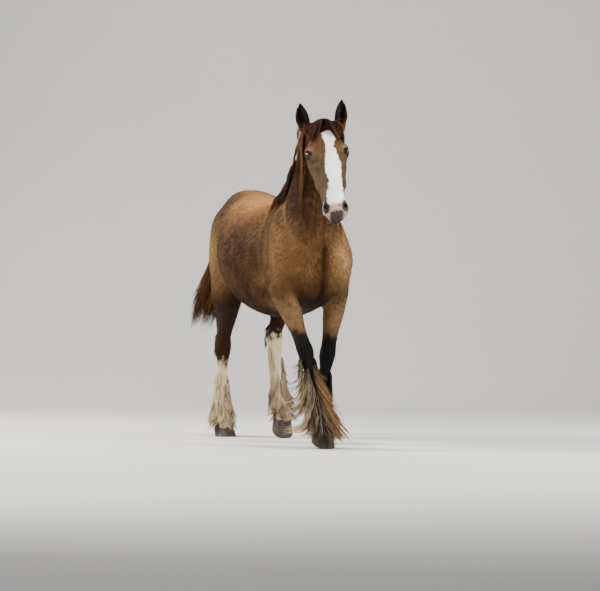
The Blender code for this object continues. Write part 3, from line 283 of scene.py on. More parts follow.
def hind_limb(joints, coronet):
    """Gaskin, hock, cannon, fetlock and pastern."""
    stifle, hock, fetlock = joints
    up, low, foot = lean_of(stifle, hock), lean_of(hock, fetlock), lean_of(fetlock, coronet)
    return limb_rows((
        (between(stifle, hock, 0.00), 0.098, 0.215, 0.078, up * 0.4),
        (between(stifle, hock, 0.22), 0.100, 0.170, 0.070, up * 0.5),
        (between(stifle, hock, 0.45), 0.084, 0.122, 0.060, up * 0.6),
        (between(stifle, hock, 0.68), 0.062, 0.086, 0.048, up * 0.5),
        (between(stifle, hock, 0.86), 0.049, 0.076, 0.043, up * 0.3),
        (hock, 0.052, 0.070, 0.052, low * 0.5),
        (between(hock, fetlock, 0.13), 0.044, 0.052, 0.047, low),
        (between(hock, fetlock, 0.30), 0.034, 0.038, 0.036, low),
        (between(hock, fetlock, 0.62), 0.032, 0.035, 0.033, low),
        (between(hock, fetlock, 0.87), 0.035, 0.039, 0.036, low),
        (fetlock, 0.040, 0.046, 0.042, (low + foot) / 2),
        (between(fetlock, coronet, 0.55), 0.032, 0.036, 0.037, foot),
        (coronet, 0.040, 0.040, 0.045, foot * 0.75),
        (between(fetlock, coronet, 1.12), 0.042, 0.041, 0.046, foot * 0.6),
    ))


def shoulder(side, elbow):
    """Shoulder blade, upper arm and triceps."""
    ex, ey, ez = elbow
    return (
        (0.075 * side, -0.330, 1.350, -0.180, 1.300, 0.030, 1.9, 0.0),
        (0.118 * side, -0.440, 1.260, -0.190, 1.150, 0.070, 1.9, 0.0),
        (0.142 * side, -0.545, 1.120, -0.240, 1.010, 0.078, 1.9, 0.0),
        (0.152 * side, -0.605, 1.000, -0.285, 0.910, 0.072, 2.0, 0.0),
        (0.90 * ex, (ey - 0.715) / 2, ez + 0.075, ey + 0.105, ez + 0.040, 0.070, 2.1, 0.0),
        (0.98 * ex, ey - 0.105, ez - 0.010, ey + 0.095, ez + 0.015, 0.062, 2.1, 0.0),
        (ex, ey - 0.085, ez - 0.070, ey + 0.070, ez - 0.055, 0.054, 2.0, 0.0),
    )


def haunch(side, stifle, hock):
    """Croup and thigh, from the hip down into the gaskin."""
    sx, sy, sz = stifle
    lx, ly, lz = between(stifle, hock, 0.52)
    return (
        (0.070 * side, 0.350, 1.350, 0.640, 1.335, 0.072, 2.0, -0.20),
        (0.105 * side, 0.320, 1.230, 0.735, 1.235, 0.112, 2.1, -0.38),
        (0.118 * side, 0.300, 1.110, 0.790, 1.120, 0.118, 2.1, -0.42),
        (0.125 * side, (0.160 + sy) / 2, 0.990, 0.790, 1.010, 0.112, 2.1, -0.36),
        (0.138 * side, sy - 0.112, 0.900, (1.030 + sy) / 2, 0.910, 0.098, 2.1, -0.28),
        (0.95 * sx, sy - 0.086, sz - 0.020, sy + 0.245, sz - 0.010, 0.080, 2.1, -0.18),
        (0.98 * sx, sy - 0.052, sz - 0.110, sy + 0.205, sz - 0.085, 0.066, 2.1, -0.10),
        (lx, ly - 0.070, lz + 0.030, ly + 0.092, lz - 0.010, 0.050, 2.1, 0.0),
    )


def baked(obj):
    """The object with its modifiers applied."""
    bpy.context.view_layer.update()
    made = bpy.data.meshes.new_from_object(obj.evaluated_get(bpy.context.evaluated_depsgraph_get()))
    obj.modifiers.clear()
    obj.data = made
    return obj


def cut_away(obj, cutters):
    """Takes a list of closed objects away from another in one Boolean, and removes them."""
    group = bpy.data.collections.new("cutters")
    for cutter in cutters:
        bpy.context.scene.collection.objects.unlink(cutter)
        group.objects.link(cutter)
    step = obj.modifiers.new("cut", "BOOLEAN")
    step.operation, step.solver = "DIFFERENCE", "MANIFOLD"
    step.operand_type, step.collection = "COLLECTION", group
    baked(obj)
    for cutter in cutters:
        bpy.data.objects.remove(cutter, do_unlink=True)
    bpy.data.collections.remove(group)
    return obj


# Ears, part of the same hide: a leaf-shaped horn of gristle, cupped at the front and turned a
# little outwards, pricked forward. The cup is cut out before the ears join the skull.
# Rows of the ear: height, half width, half depth
EAR_ROWS = ((-0.014, 0.026, 0.028), (0.022, 0.032, 0.030), (0.058, 0.039, 0.028), (0.094, 0.037, 0.023),
            (0.124, 0.027, 0.016), (0.146, 0.014, 0.009), (0.160, 0.005, 0.004))
EAR_WALL = 0.0095


def ear_place(side):
    """Matrix of an ear's root, on the skull behind the poll."""
    place = HEAD_TURN @ Matrix.Translation((0.094 * side, 0.026, -0.040))
    place = place @ Matrix.Rotation(math.radians(10 * side), 4, "Y")
    return place @ Matrix.Rotation(math.radians(4), 4, "X") @ Matrix.Rotation(math.radians(28 * side), 4, "Z")


def ear(side):
    """A leaf that bends inwards and forwards with the cube of its height, less its cup."""
    rows, cup = [], []
    for rise, half, depth in EAR_ROWS:
        bend, lean = -side * 4.5 * rise**3, -4.0 * rise**3
        rows.append((bend, lean - depth, rise, lean + depth, rise, half, 2.0, 0.10))
        if 0 < rise < 0.130:
            wide = half - EAR_WALL * 0.7
            cup.append((bend, lean - depth - 0.030, rise + 0.014, lean + depth - EAR_WALL, rise + 0.010,
                        wide, 2.0, 0.0))
    cup.insert(0, (0, -0.050, 0.010, -0.012, 0.006, 0.006, 2.0, 0.0))
    cup.append((-side * 0.0125, -0.040, 0.146, -0.009, 0.146, 0.004, 2.0, 0.0))
    shell = form("ear", rows, ear_place(side), 32, 8)
    return cut_away(shell, [form("ear_cup", cup, ear_place(side), 24, 6)])


forms = [form("trunk", TRUNK), form("nape", NECK), form("skull", SKULL, HEAD_PLACE)]
for side, fore, hind in ((-1, "fore_right", "hind_right"), (1, "fore_left", "hind_left")):
    joints, hoof = LEGS[fore]
    forms.append(form("blade", shoulder(side, joints[0])))
    forms.append(ellipsoid("breast", (0.085 * side, -0.570, 0.955), (0.098, 0.088, 0.155)))
    forms.append(form("fore_limb", fore_limb(joints, tuple(coronet_of(hoof)))))
    joints, hoof = LEGS[hind]
    forms.append(form("thigh", haunch(side, joints[0], joints[1])))
    forms.append(form("hind_limb", hind_limb(joints, tuple(coronet_of(hoof)))))
    for name, ((x, y, z), radii, pitch, yaw) in SWELLINGS.items():
        forms.append(ellipsoid(name, (x * side, y, z), radii, pitch, -yaw * side, HEAD_PLACE))
    forms.append(ear(side))
for name, (centre, radii, pitch, yaw) in LIPS.items():
    forms.append(ellipsoid(name, centre, radii, pitch, yaw, HEAD_PLACE))

joined = bmesh.new()
for piece in forms:
    joined.from_mesh(piece.data)
    bpy.data.objects.remove(piece, do_unlink=True)
skin_mesh = bpy.data.meshes.new("skin")
joined.to_mesh(skin_mesh)
joined.free()
skin = linked("skin", skin_mesh)
remesh = skin.modifiers.new("fuse", "REMESH")
remesh.mode, remesh.voxel_size = "VOXEL", SKIN_VOXEL
baked(skin)


def points_of(mesh):
    found = np.empty(len(mesh.vertices) * 3)
    mesh.vertices.foreach_get("co", found)
    return found.reshape(-1, 3)


def normals_of(mesh):
    found = np.empty(len(mesh.vertices) * 3)
    mesh.vertex_normals.foreach_get("vector", found)
    return found.reshape(-1, 3)


def put_points(mesh, points):
    mesh.vertices.foreach_set("co", points.ravel())
    mesh.update()


def relax(mesh, points, times, amount):
    """Moves each point towards the middle of its neighbours, `amount` of the way, many times."""
    ends = np.empty(len(mesh.edges) * 2, np.int64)
    mesh.edges.foreach_get("vertices", ends)
    a, b = ends[0::2], ends[1::2]
    into, out = np.concatenate([a, b]), np.concatenate([b, a])
    count = np.maximum(np.bincount(into, minlength=len(points)), 1)
    for _ in range(times):
        sums = [np.bincount(into, points[out, k], len(points)) for k in range(3)]
        points = points + (np.stack(sums, 1) / count[:, None] - points) * amount[:, None]
    return points


def rises(x, a, b):
    """0 below a, 1 above b, and a smooth step between; falls where a is above b."""
    t = np.clip((x - a) / (b - a), 0, 1)
    return t * t * (3 - 2 * t)


def moved(points, matrix):
    """Points taken through a matrix."""
    matrix = np.array(matrix)
    return points @ matrix[:3, :3].T + matrix[:3, 3]


def in_head(points):
    """Points in the head's own frame, where the face runs along -Y and the forehead is up."""
    return moved(points, HEAD_PLACE.inverted())


def ear_share(points):
    """1 on the ears, which stand above everything else in the head's frame."""
    local = in_head(points)
    return rises(local[:, 1] + local[:, 2], -0.014, 0.016) * rises(np.abs(local[:, 0]), 0.045, 0.060)


def head_share(points):
    """1 on the head and ears, 0 on the neck, changing over a few centimetres behind the jaw."""
    local = in_head(points)
    face = rises(-local[:, 1], -0.05, 0.01) * rises(local[:, 2], -0.30, -0.25)
    return np.maximum(face * rises(-points[:, 1], 0.48, 0.53), ear_share(points))


points = points_of(skin.data)
head = head_share(points)
ears = ear_share(points)
points = relax(skin.data, points, 6, np.full(len(points), 0.5))
points = relax(skin.data, points, 12, 0.5 * (1 - ears))
points = relax(skin.data, points, 70, 0.5 * (1 - head) * (1 - ears))
put_points(skin.data, points)

# Muscles, bones and folds under the hide. Each is a line or a spot laid on the skin, with a width
# and a height in metres: ridges push the skin out, grooves pull it in. Given for the left side.
BODY_RELIEF = (
    (((0.13, -0.27, 1.27), (0.15, -0.37, 1.15), (0.16, -0.48, 1.02)), 0.030, 0.005),
    (((0.13, -0.17, 1.25), (0.19, -0.19, 1.08), (0.20, -0.25, 0.92)), 0.028, -0.007),
    (((0.17, -0.52, 0.98), (0.18, -0.42, 0.93), (0.18, -0.30, 0.95)), 0.022, -0.006),
    (((0.07, -0.66, 0.99), (0.08, -0.65, 0.90)), 0.045, 0.006),
    (((0.12, -0.60, 0.86), (0.10, -0.55, 0.79)), 0.020, -0.009),
    (((0.08, -0.56, 1.42), (0.10, -0.60, 1.28), (0.10, -0.62, 1.16)), 0.016, -0.006),
    (((0.10, -0.47, 1.50), (0.13, -0.45, 1.33), (0.15, -0.48, 1.18)), 0.030, 0.005),
    (((0.07, -0.42, 1.62), (0.09, -0.33, 1.50), (0.10, -0.25, 1.40)), 0.020, -0.004),
    (((0.26, -0.06, 1.15), (0.28, -0.03, 1.00), (0.24, -0.01, 0.86)), 0.012, 0.0022),
    (((0.27, 0.02, 1.15), (0.29, 0.05, 1.00), (0.26, 0.07, 0.86)), 0.012, 0.0024),
    (((0.27, 0.10, 1.15), (0.30, 0.13, 1.00), (0.27, 0.15, 0.88)), 0.012, 0.0022),
    (((0.22, 0.36, 1.24), (0.23, 0.34, 1.12)), 0.045, -0.011),
    (((0.21, 0.33, 1.02), (0.19, 0.30, 0.93)), 0.018, 0.006),
    (((0.20, 0.43, 1.28),), 0.034, 0.011),
    (((0.10, 0.76, 1.17),), 0.030, 0.008),
    (((0.14, 0.62, 1.16), (0.17, 0.63, 1.02), (0.16, 0.60, 0.88)), 0.030, -0.004),
)
MIDLINE_RELIEF = (
    (((0, -0.66, 1.05), (0, -0.66, 0.95), (0, -0.63, 0.84), (0, -0.56, 0.77)), 0.013, -0.012),
    (((0, 0.42, 1.40), (0, 0.60, 1.38), (0, 0.72, 1.31)), 0.016, -0.006),
    (((0, -0.28, 1.38), (0, -0.18, 1.36), (0, -0.08, 1.34)), 0.022, 0.006),
    (((0, 0.00, 1.32), (0, 0.30, 1.35)), 0.020, -0.003),
)
# In the head's frame
FACE_RELIEF = (
    (((0.088, -0.250, -0.070), (0.074, -0.310, -0.082), (0.062, -0.370, -0.088)), 0.010, 0.0055),
    (((0.090, -0.245, -0.100), (0.074, -0.330, -0.110)), 0.016, -0.0035),
    (((0.036, -0.260, 0.000), (0.028, -0.380, -0.006), (0.022, -0.500, -0.018)), 0.010, 0.0028),
    (((0.058, -0.300, -0.025), (0.050, -0.420, -0.045)), 0.018, -0.0055),
    (((0.080, -0.128, -0.002),), 0.016, -0.0085),
    (((0.100, -0.150, -0.004), (0.108, -0.185, 0.000), (0.104, -0.215, -0.004)), 0.009, 0.0050),
    (((0.112, -0.170, -0.050), (0.112, -0.200, -0.052), (0.104, -0.228, -0.044)), 0.006, -0.0022),
    (((0.086, -0.075, -0.120), (0.092, -0.150, -0.205), (0.078, -0.230, -0.190)), 0.014, 0.0040),
    (((0.064, -0.240, -0.170), (0.052, -0.360, -0.140), (0.044, -0.460, -0.132)), 0.012, 0.0030),
    (((0.032, -0.490, -0.016), (0.050, -0.484, -0.030), (0.066, -0.512, -0.052), (0.064, -0.548, -0.066),
      (0.048, -0.572, -0.056), (0.034, -0.556, -0.038)), 0.0080, 0.0048),
    (((0.058, -0.478, -0.046), (0.054, -0.435, -0.050)), 0.010, -0.0045),
    (((0.052, -0.500, -0.105), (0.050, -0.485, -0.112)), 0.006, -0.0030),
    (((0.050, -0.470, -0.098), (0.050, -0.462, -0.120)), 0.005, -0.0015),
    (((0.050, -0.090, 0.005),), 0.030, 0.0040),
    (((0.020, -0.597, -0.085), (0.042, -0.582, -0.092)), 0.006, 0.0018),
)
FACE_MIDLINE = (
    (((0, -0.150, -0.240), (0, -0.280, -0.195), (0, -0.430, -0.150)), 0.014, -0.0100),
    (((0, -0.600, -0.060), (0, -0.604, -0.090)), 0.006, -0.0025),
    (((-0.024, -0.475, -0.148), (0, -0.478, -0.152), (0.024, -0.475, -0.148)), 0.009, -0.0040),
    (((0, -0.090, 0.014), (0, -0.220, 0.016)), 0.030, 0.0020),
)


def mirrored(lines):
    return [([(x * side, y, z) for x, y, z in line], width, height)
            for line, width, height in lines for side in (1, -1)]


def beside(a, b, shares, off):
    """Points between two joints, each moved off the bone by the same amount."""
    return [tuple(np.add(between(a, b, share), off)) for share in shares]


def leg_relief():
    """Tendons, knees, hocks and elbows of the four legs, from their joints."""
    lines = []
    for name, ((top, middle, fetlock), _) in LEGS.items():
        side = 1 if name.endswith("left") else -1
        (tx, ty, tz), (mx, my, mz), (fx, fy, fz) = top, middle, fetlock
        for x in (-0.032, 0.032):
            lines.append((beside(middle, fetlock, (0.22, 0.5, 0.85), (x, 0.010, 0)), 0.0075, -0.0045))
        if name.startswith("fore"):
            lines += [
                (beside(top, middle, (0.1, 0.4, 0.75), (0.055 * side, 0.006, 0)), 0.011, -0.0045),
                ([(tx, ty + 0.088, tz + 0.020)], 0.022, 0.009),
                ([(mx, my - 0.050, mz + 0.018)], 0.016, 0.0035),
                ([(mx, my - 0.050, mz - 0.022)], 0.014, 0.0030),
                ([(mx, my + 0.045, mz + 0.010)], 0.016, 0.0055),
                ([(mx + 0.04 * side, my - 0.005, mz - 0.002)], 0.012, -0.0025),
            ]
        else:
            for x in (-0.03, 0.03):
                rear = beside(top, middle, (0.72,), (x, 0.045, 0)) + beside(top, middle, (0.95,), (x, 0.038, 0))
                lines.append((rear, 0.014, -0.0090))
            lines += [([(mx, my + 0.072, mz + 0.030)], 0.016, 0.0100),
                      ([(mx + 0.030 * side, my - 0.035, mz)], 0.014, 0.0030)]
        lines.append(([(fx, fy + 0.044, fz - 0.004)], 0.014, 0.0050))
    return lines


def relief(points, lines, tree):
    """Height of the relief at each point: every line, laid on the skin, adds its height times a bell
    of the distance to the line, exp(-(d / width)^2)."""
    total = np.zeros(len(points))
    for line, width, height in lines:
        laid = np.array([tree.find_nearest(Vector(p))[0] for p in line])
        if len(laid) == 1:
            laid = np.vstack([laid, laid + 0.0001])
        near = ((points > laid.min(0) - 2.6 * width) & (points < laid.max(0) + 2.6 * width)).all(1)
        p, best = points[near], np.inf
        for a, b in zip(laid[:-1], laid[1:]):
            t = np.clip((p - a) @ (b - a) / ((b - a) @ (b - a)), 0, 1)[:, None]
            best = np.minimum(best, ((p - a - t * (b - a)) ** 2).sum(1))
        total[near] += height * np.exp(-best / width**2)
    return total


tree = BVHTree.FromObject(skin, bpy.context.evaluated_depsgraph_get())
heads = mirrored(FACE_RELIEF) + list(FACE_MIDLINE)
heads = [([HEAD_PLACE @ Vector(p) for p in line], width, height) for line, width, height in heads]
points, outward = points_of(skin.data), normals_of(skin.data)
height = relief(points, mirrored(BODY_RELIEF) + list(MIDLINE_RELIEF) + leg_relief() + heads, tree)
head = head_share(points)
depth = COAT_DEPTH * (1 - 0.7 * head) * rises(points[:, 2], 0.10, 0.30)
put_points(skin.data, points + outward * (height - depth)[:, None])


# Openings of the hide for eyes, nostrils and mouth: an oval one over each round socket, two
# overlapping hollows that make each nostril a comma, and the line between the lips.
# Hollows of the nostrils: centre, radii, pitch and yaw, for the left side and mirrored
NOSTRILS = {
    "nostril": ((0.050, -0.531, -0.044), (0.0120, 0.024, 0.018), 26, -10),
    "nostril_tail": ((0.0545, -0.508, -0.033), (0.0070, 0.023, 0.0095), 4, -16),
}


def eye_frame(side):
    """Matrix with the eye's long axis along X (towards the muzzle), its up along Y, its gaze along Z."""
    turn = HEAD_PLACE.to_3x3().normalized()
    gaze = (turn @ Vector((GAZE.x * side, GAZE.y, GAZE.z))).normalized()
    long_axis = turn @ Vector((0, -1, 0.38))
    long_axis = (long_axis - gaze * long_axis.dot(gaze)).normalized()
    up = gaze.cross(long_axis)
    if up.z < 0:
        up.negate()
    place = Matrix((long_axis, up, gaze)).transposed().to_4x4()
    place.translation = HEAD_PLACE @ Vector((EYE.x * side, EYE.y, EYE.z))
    return place


def unit(ways, least=0.0):
    """Directions brought to length 1; `least` keeps one of no length from failing."""
    return ways / (np.linalg.norm(ways, axis=-1, keepdims=True) + least)


def mouth_cutter(tree):
    """A thin tube along the line of the mouth, where rays from inside meet the lips."""
    start = Vector((0, -0.520, -0.113))
    path = []
    for angle in np.linspace(-math.pi / 2, math.pi / 2, 41):
        rise = 0.006 * math.cos(angle) - 0.006
        aim = Vector((math.sin(angle), -math.cos(angle), 0))
        hit = tree.ray_cast(HEAD_PLACE @ (start + Vector((0, 0, rise))), HEAD_PLACE.to_3x3() @ aim)[0]
        path.append(HEAD_PLACE.inverted() @ hit)
    path = np.array([tuple(p) for p in path])
    out = unit(np.cross(unit(np.gradient(path, axis=0)), (0.0, 0.0, 1.0)))
    turn = np.linspace(0, 2 * math.pi, 10, endpoint=False)[None, :, None]
    size = 0.0026 * np.sin(np.linspace(0.25, math.pi - 0.25, len(path))) ** 0.5
    ring = np.cos(turn) * out[:, None, :] * 1.9 + np.sin(turn) * np.array((0, 0, 1.0))
    rings = path[:, None, :] + size[:, None, None] * ring
    closed = np.vstack([rings.reshape(-1, 3), rings[0].mean(0), rings[-1].mean(0)])
    return new_object("mouth", closed, ring_faces(*rings.shape[:2]), HEAD_PLACE)


tree = BVHTree.FromObject(skin, bpy.context.evaluated_depsgraph_get())
cutters = [mouth_cutter(tree)]
for side in (-1, 1):
    socket = EYE_RADIUS + 0.0006
    cutters.append(ellipsoid("socket", (0, 0, 0), (socket,) * 3, 0, 0, eye_frame(side), 40))
    opening = eye_frame(side) @ Matrix.Translation((0, 0, 0.024))
    cutters.append(ellipsoid("lids", (0, 0, 0), (0.0225, 0.0150, 0.022), 0, 0, opening, 40))
cut_away(skin, cutters)
for name, ((x, y, z), radii, pitch, yaw) in NOSTRILS.items():
    cut_away(skin, [ellipsoid(name, (x * side, y, z), radii, pitch, yaw * side, HEAD_PLACE) for side in (-1, 1)])

# The hide is thinned to an even mesh that stays finer on the head than on the body
points = points_of(skin.data)
body_group = skin.vertex_groups.new(name="thin")
share = np.round(1 - 0.93 * head_share(points), 1)
for level in np.unique(share):
    body_group.add(np.nonzero(share == level)[0].tolist(), float(level), "REPLACE")
skin.data.calc_loop_triangles()
thin = skin.modifiers.new("thin", "DECIMATE")
thin.ratio = SKIN_TRIANGLES / len(skin.data.loop_triangles)
thin.vertex_group = "thin"
thin.vertex_group_factor = 1.0
baked(skin)
skin.vertex_groups.clear()

# Colours of the coat, worked out from the place on the body: bay, darker on the neck, throat and
# belly, gold over the croup, back, shoulder and left breast that is painted highlight, painted shade
# under the chest and in the breast's groove, with a white blaze, a pink muzzle and black or white
# lower legs. The hide and every tuft and hair take their colour from the same rule.
BAY, GOLD, UMBER = (0.062, 0.028, 0.0095), (0.290, 0.150, 0.056), (0.016, 0.0068, 0.0022)
ROAN, FOREHEAD, BLACK = (0.070, 0.044, 0.022), (0.100, 0.036, 0.015), (0.0038, 0.0030, 0.0028)
WHITE, PINK, LIP = (0.90, 0.89, 0.87), (0.400, 0.215, 0.170), (0.020, 0.0155, 0.013)
CREAM, RUST, BEIGE = (0.560, 0.420, 0.220), (0.230, 0.075, 0.018), (0.400, 0.270, 0.120)
# Blaze: how far down the face, and its right and left edges
BLAZE = ((-0.045, 0.018, 0.030), (-0.065, -0.016, 0.056), (-0.120, -0.013, 0.050), (-0.165, -0.004, 0.036),
         (-0.252, -0.023, 0.060), (-0.313, -0.029, 0.060), (-0.375, -0.018, 0.056), (-0.437, -0.034, 0.060),
         (-0.500, -0.046, 0.064), (-0.560, -0.056, 0.068))
# Broad patches of coat colour and of painted highlight: middle and reach along y and z, colour, strength
COAT_PATCHES_AND_PAINTED_LIGHT = (
    # Painted highlight: gold along the back and loin, where a rim light falls
    ((0.14, 1.34, 0.32, 0.11), (0.390, 0.195, 0.068), 0.88),
    ((0.02, 1.02, 0.34, 0.24), UMBER, 0.78),
    ((0.36, 1.05, 0.14, 0.22), UMBER, 0.60),
    # Lighter golden brown on the shoulder: mostly painted highlight, partly the coat's own colour
    ((-0.46, 1.08, 0.13, 0.20), (0.170, 0.086, 0.032), 0.75),
    ((-0.62, 0.97, 0.08, 0.12), (0.095, 0.045, 0.015), 0.60),
    ((0.06, 0.74, 0.40, 0.14), UMBER, 0.85),
    ((0.64, 1.31, 0.16, 0.13), (0.040, 0.022, 0.012), 0.92),
    # Painted sheen: gold on the flank of the haunch
    ((0.60, 1.06, 0.20, 0.15), (0.270, 0.155, 0.058), 0.75),
    # Painted highlight: gold on the top of the withers
    ((-0.24, 1.36, 0.10, 0.07), (0.300, 0.145, 0.050), 0.60),
)


def blend(colour, other, share):
    """Moves an array of colours towards another by a share for each point."""
    return colour + (np.asarray(other) - colour) * np.asarray(share)[:, None]


def wobble(points, size):
    """Soft noise between -1 and 1: a sum of sines in four directions, about `size` across."""
    ways = np.array(((1.0, 0.3, 0.2), (-0.4, 1.1, 0.5), (0.2, -0.6, 1.2), (0.9, 0.8, -0.7)))
    turns = points @ ways.T * (2 * math.pi / size)
    turns += 1.7 * np.sin(turns[:, [1, 2, 3, 0]] * 0.6)
    return np.sin(turns).mean(1) * 1.6


def distance_to_pair(local, centre, radii=(1, 1, 1)):
    """How far points of the head are from a place or its mirror image, counted in radii."""
    return np.minimum(*(np.linalg.norm((local - np.array(centre) * (side, 1, 1)) / radii, axis=1)
                        for side in (1, -1)))


def coat_colour(points):
    """Colour at each point: broad patches, then neck and chest, legs, and the face over them all."""
    x, y, z = points.T
    local, head = in_head(points), head_share(points)
    soft, fine = wobble(points, 0.23), wobble(points, 0.05)
    colour = np.tile(np.array(BAY), (len(points), 1))
    for (cy, cz, ry, rz), other, share in COAT_PATCHES_AND_PAINTED_LIGHT:
        colour = blend(colour, other, share * np.exp(-(((y - cy) / ry) ** 2 + ((z - cz) / rz) ** 2)))
    colour = blend(colour, GOLD, np.clip(0.03 + 0.07 * soft + 0.04 * fine, 0, 1))
    # Painted highlight: the left breast made lighter and golden on the side the light falls on
    painted_highlight_left_breast = np.exp(-(((x - 0.13) / 0.07) ** 2 + ((z - 1.00) / 0.13) ** 2)) * rises(-y, 0.40, 0.52)
    colour = blend(colour, (0.300, 0.180, 0.078), 0.72 * painted_highlight_left_breast)
    croup = rises(y, 0.33, 0.40) * rises(-y, -0.70, -0.56) * rises(np.abs(x), 0.04, 0.10)
    croup = croup * np.exp(-(((z - 1.30) / 0.11) ** 2))
    colour = blend(colour, (0.034, 0.022, 0.014), 0.88 * croup)
    neck = rises(z, 1.10, 1.34) * rises(-y, 0.20, 0.42) * (1 - head)
    front = np.interp(z, (0.96, 1.06, 1.19, 1.30, 1.39, 1.47),
                      (-0.600, -0.655, -0.632, -0.598, -0.562, -0.560))
    colour = blend(colour, UMBER, neck * (0.36 + 0.62 * rises(-y, -front - 0.22, -front - 0.07)))
    # Painted shade: a dark stripe down the groove between the breast muscles, over its lower part
    breast = 0.88 * np.exp(-((x / 0.030) ** 2)) * rises(-y, 0.50, 0.58) * rises(-z, -1.16, -1.04)
    colour = blend(colour, UMBER, breast)
    # Painted shade: the underside of the chest, between the forelegs and back to the girth, made dark
    painted_shade_between_forelegs = 0.95 * rises(-z, -0.86, -0.77) * rises(-y, -0.10, 0.12) * rises(-np.abs(x), -0.19, -0.11)
    colour = blend(colour, UMBER, painted_shade_between_forelegs)

    # Legs, each told apart by its place
    leg, fore, left = rises(-z, -0.84, -0.74), y < -0.05, x > 0
    apart = np.maximum(rises(np.abs(x), 0.075, 0.120), rises(-z, -0.70, -0.64))
    colour = blend(colour, (0.165, 0.095, 0.044), 0.75 * leg * apart * rises(-y, 0.14, 0.24))
    colour = blend(colour, UMBER, 0.88 * leg * rises(y, 0.14, 0.26) * rises(z, 0.38, 0.46))
    colour = blend(colour, BLACK, rises(-(z + 0.025 * fine), -0.68, -0.58) * (fore & ~left))
    colour = blend(colour, BLACK, rises(-(z + 0.020 * fine), -0.65, -0.56) * (fore & left))
    stocking = (0.50, 0.40, 0.26)
    colour = blend(colour, stocking, rises(-(z + 0.030 * fine), -0.440, -0.385) * (~fore & ~left))
    inner = rises(-y + 0.02 * fine, -0.560, -0.525)
    colour = blend(colour, stocking, rises(-(z + 0.030 * fine), -0.600, -0.530) * inner * (~fore & left))
    colour = blend(colour, stocking, rises(-z, -0.42, -0.38) * (~fore & left))

    # Face: roan cheeks, dark forehead and ears, blaze, pink muzzle with black lips, black nostrils that are dark
    # rim skin with painted shade inside their hollows, and painted shade along the mouth
    hx, hy, hz = local.T
    face = np.tile(np.array(ROAN), (len(points), 1))
    face = blend(face, FOREHEAD, rises(hy, -0.24, -0.10) * 0.9)
    face = blend(face, UMBER, 0.65 * rises(-hz, 0.13, 0.20))
    face = blend(face, LIP, 0.80 * rises(-hz, 0.112, 0.128) * rises(-hy, 0.40, 0.46))
    face = blend(face, (0.160, 0.105, 0.055), np.clip(0.20 * fine + 0.06, 0, 1))
    brow = np.exp(-(((np.abs(hx) - 0.094) / 0.014) ** 2 + ((hy + 0.168) / 0.020) ** 2))
    face = blend(face, (0.240, 0.165, 0.100), 0.55 * (brow * rises(hz, -0.02, 0.0)))
    eye = distance_to_pair(local, EYE + 0.015 * GAZE.normalized())
    face = blend(face, BLACK, 0.90 * rises(-eye, -0.032, -0.022))
    face = blend(face, (0.0075, 0.0048, 0.0040), ear_share(points))
    rows = np.array(BLAZE)
    low, high = (np.interp(-hy, -rows[:, 0], rows[:, k]) for k in (1, 2))
    edge = 0.0035 * wobble(points, 0.020) + 0.003 * fine
    white = rises(hx - low + edge, -0.002, 0.003) * rises(high - hx + edge, -0.002, 0.003)
    face = blend(face, WHITE, white * rises(-hy, 0.040, 0.055) * rises(hz, -0.085, -0.060) * (hy > -0.60))
    down = -(0.839 * hy + 0.545 * hz)
    spots = 0.8 * wobble(points, 0.027) + 0.6 * wobble(points, 0.012)
    face = blend(face, PINK, 0.92 * rises(down + 0.010 * fine, 0.430, 0.458) * rises(-hy, 0.42, 0.47))
    sides, nose = rises(np.abs(hx), 0.026, 0.046), rises(-hy, 0.44, 0.50)
    face = blend(face, (0.46, 0.37, 0.33), 0.75 * sides * rises(down, 0.430, 0.450) * nose)
    face = blend(face, LIP, 0.93 * (1 - 0.72 * sides) * rises(down + 0.010 * spots, 0.476, 0.492) * nose)
    chin = 0.60 * rises(-hz, 0.117, 0.124) * nose * rises(fine + spots, -0.3, 0.6)
    face = blend(face, (0.075, 0.050, 0.042), chin)
    face = blend(face, LIP, 0.80 * rises(spots, 0.55, 0.85) * rises(down, 0.430, 0.450) * nose)
    # Painted shade: a near-black band along the slit between the lips
    mouth = np.exp(-(((hz + 0.1155) / 0.0028) ** 2)) * rises(-hy, 0.452, 0.470)
    face = blend(face, (0.008, 0.006, 0.006), 0.9 * mouth)
    # Nostrils made near-black: dark skin at their rims, and painted shade inside their hollows
    near = distance_to_pair(local, (0.050, -0.531, -0.044), (0.020, 0.031, 0.027))
    tail = distance_to_pair(local, (0.0555, -0.507, -0.033), (0.012, 0.025, 0.012))
    face = blend(face, (0.014, 0.011, 0.011), 0.92 * rises(-np.minimum(near, tail), -1.25, -0.90))
    return np.clip(colour * (1 - head)[:, None] + face * head[:, None], 0.004, 0.9)


def add_colours(mesh, colours):
    """Gives each point of a mesh its colour, in the attribute that the materials read."""
    shade = np.ones((len(colours), 4))
    shade[:, :3] = colours
    mesh.color_attributes.new("coat", "FLOAT_COLOR", "POINT").data.foreach_set("color", shade.ravel())


def node_group(name, inputs, outputs):
    """A node group with its sockets only, and its input and output nodes."""
    group = bpy.data.node_groups.new(name, "ShaderNodeTree")
    for title, kind in inputs:
        group.interface.new_socket(title, in_out="INPUT", socket_type="NodeSocket" + kind)
    for title, kind in outputs:
        group.interface.new_socket(title, in_out="OUTPUT", socket_type="NodeSocket" + kind)
    return group, group.nodes.new("NodeGroupInput"), group.nodes.new("NodeGroupOutput")


def add_node(tree, kind, links=(), **values):
    """A node with its settings, its socket values (numbers or names) and its incoming links."""
    node = tree.nodes.new("ShaderNode" + kind)
    for key, value in values.items():
        setattr(node, key, value)
    for socket, source in links:
        if hasattr(source, "is_output"):
            tree.links.new(source, node.inputs[socket])
        else:
            node.inputs[socket].default_value = source
    return node


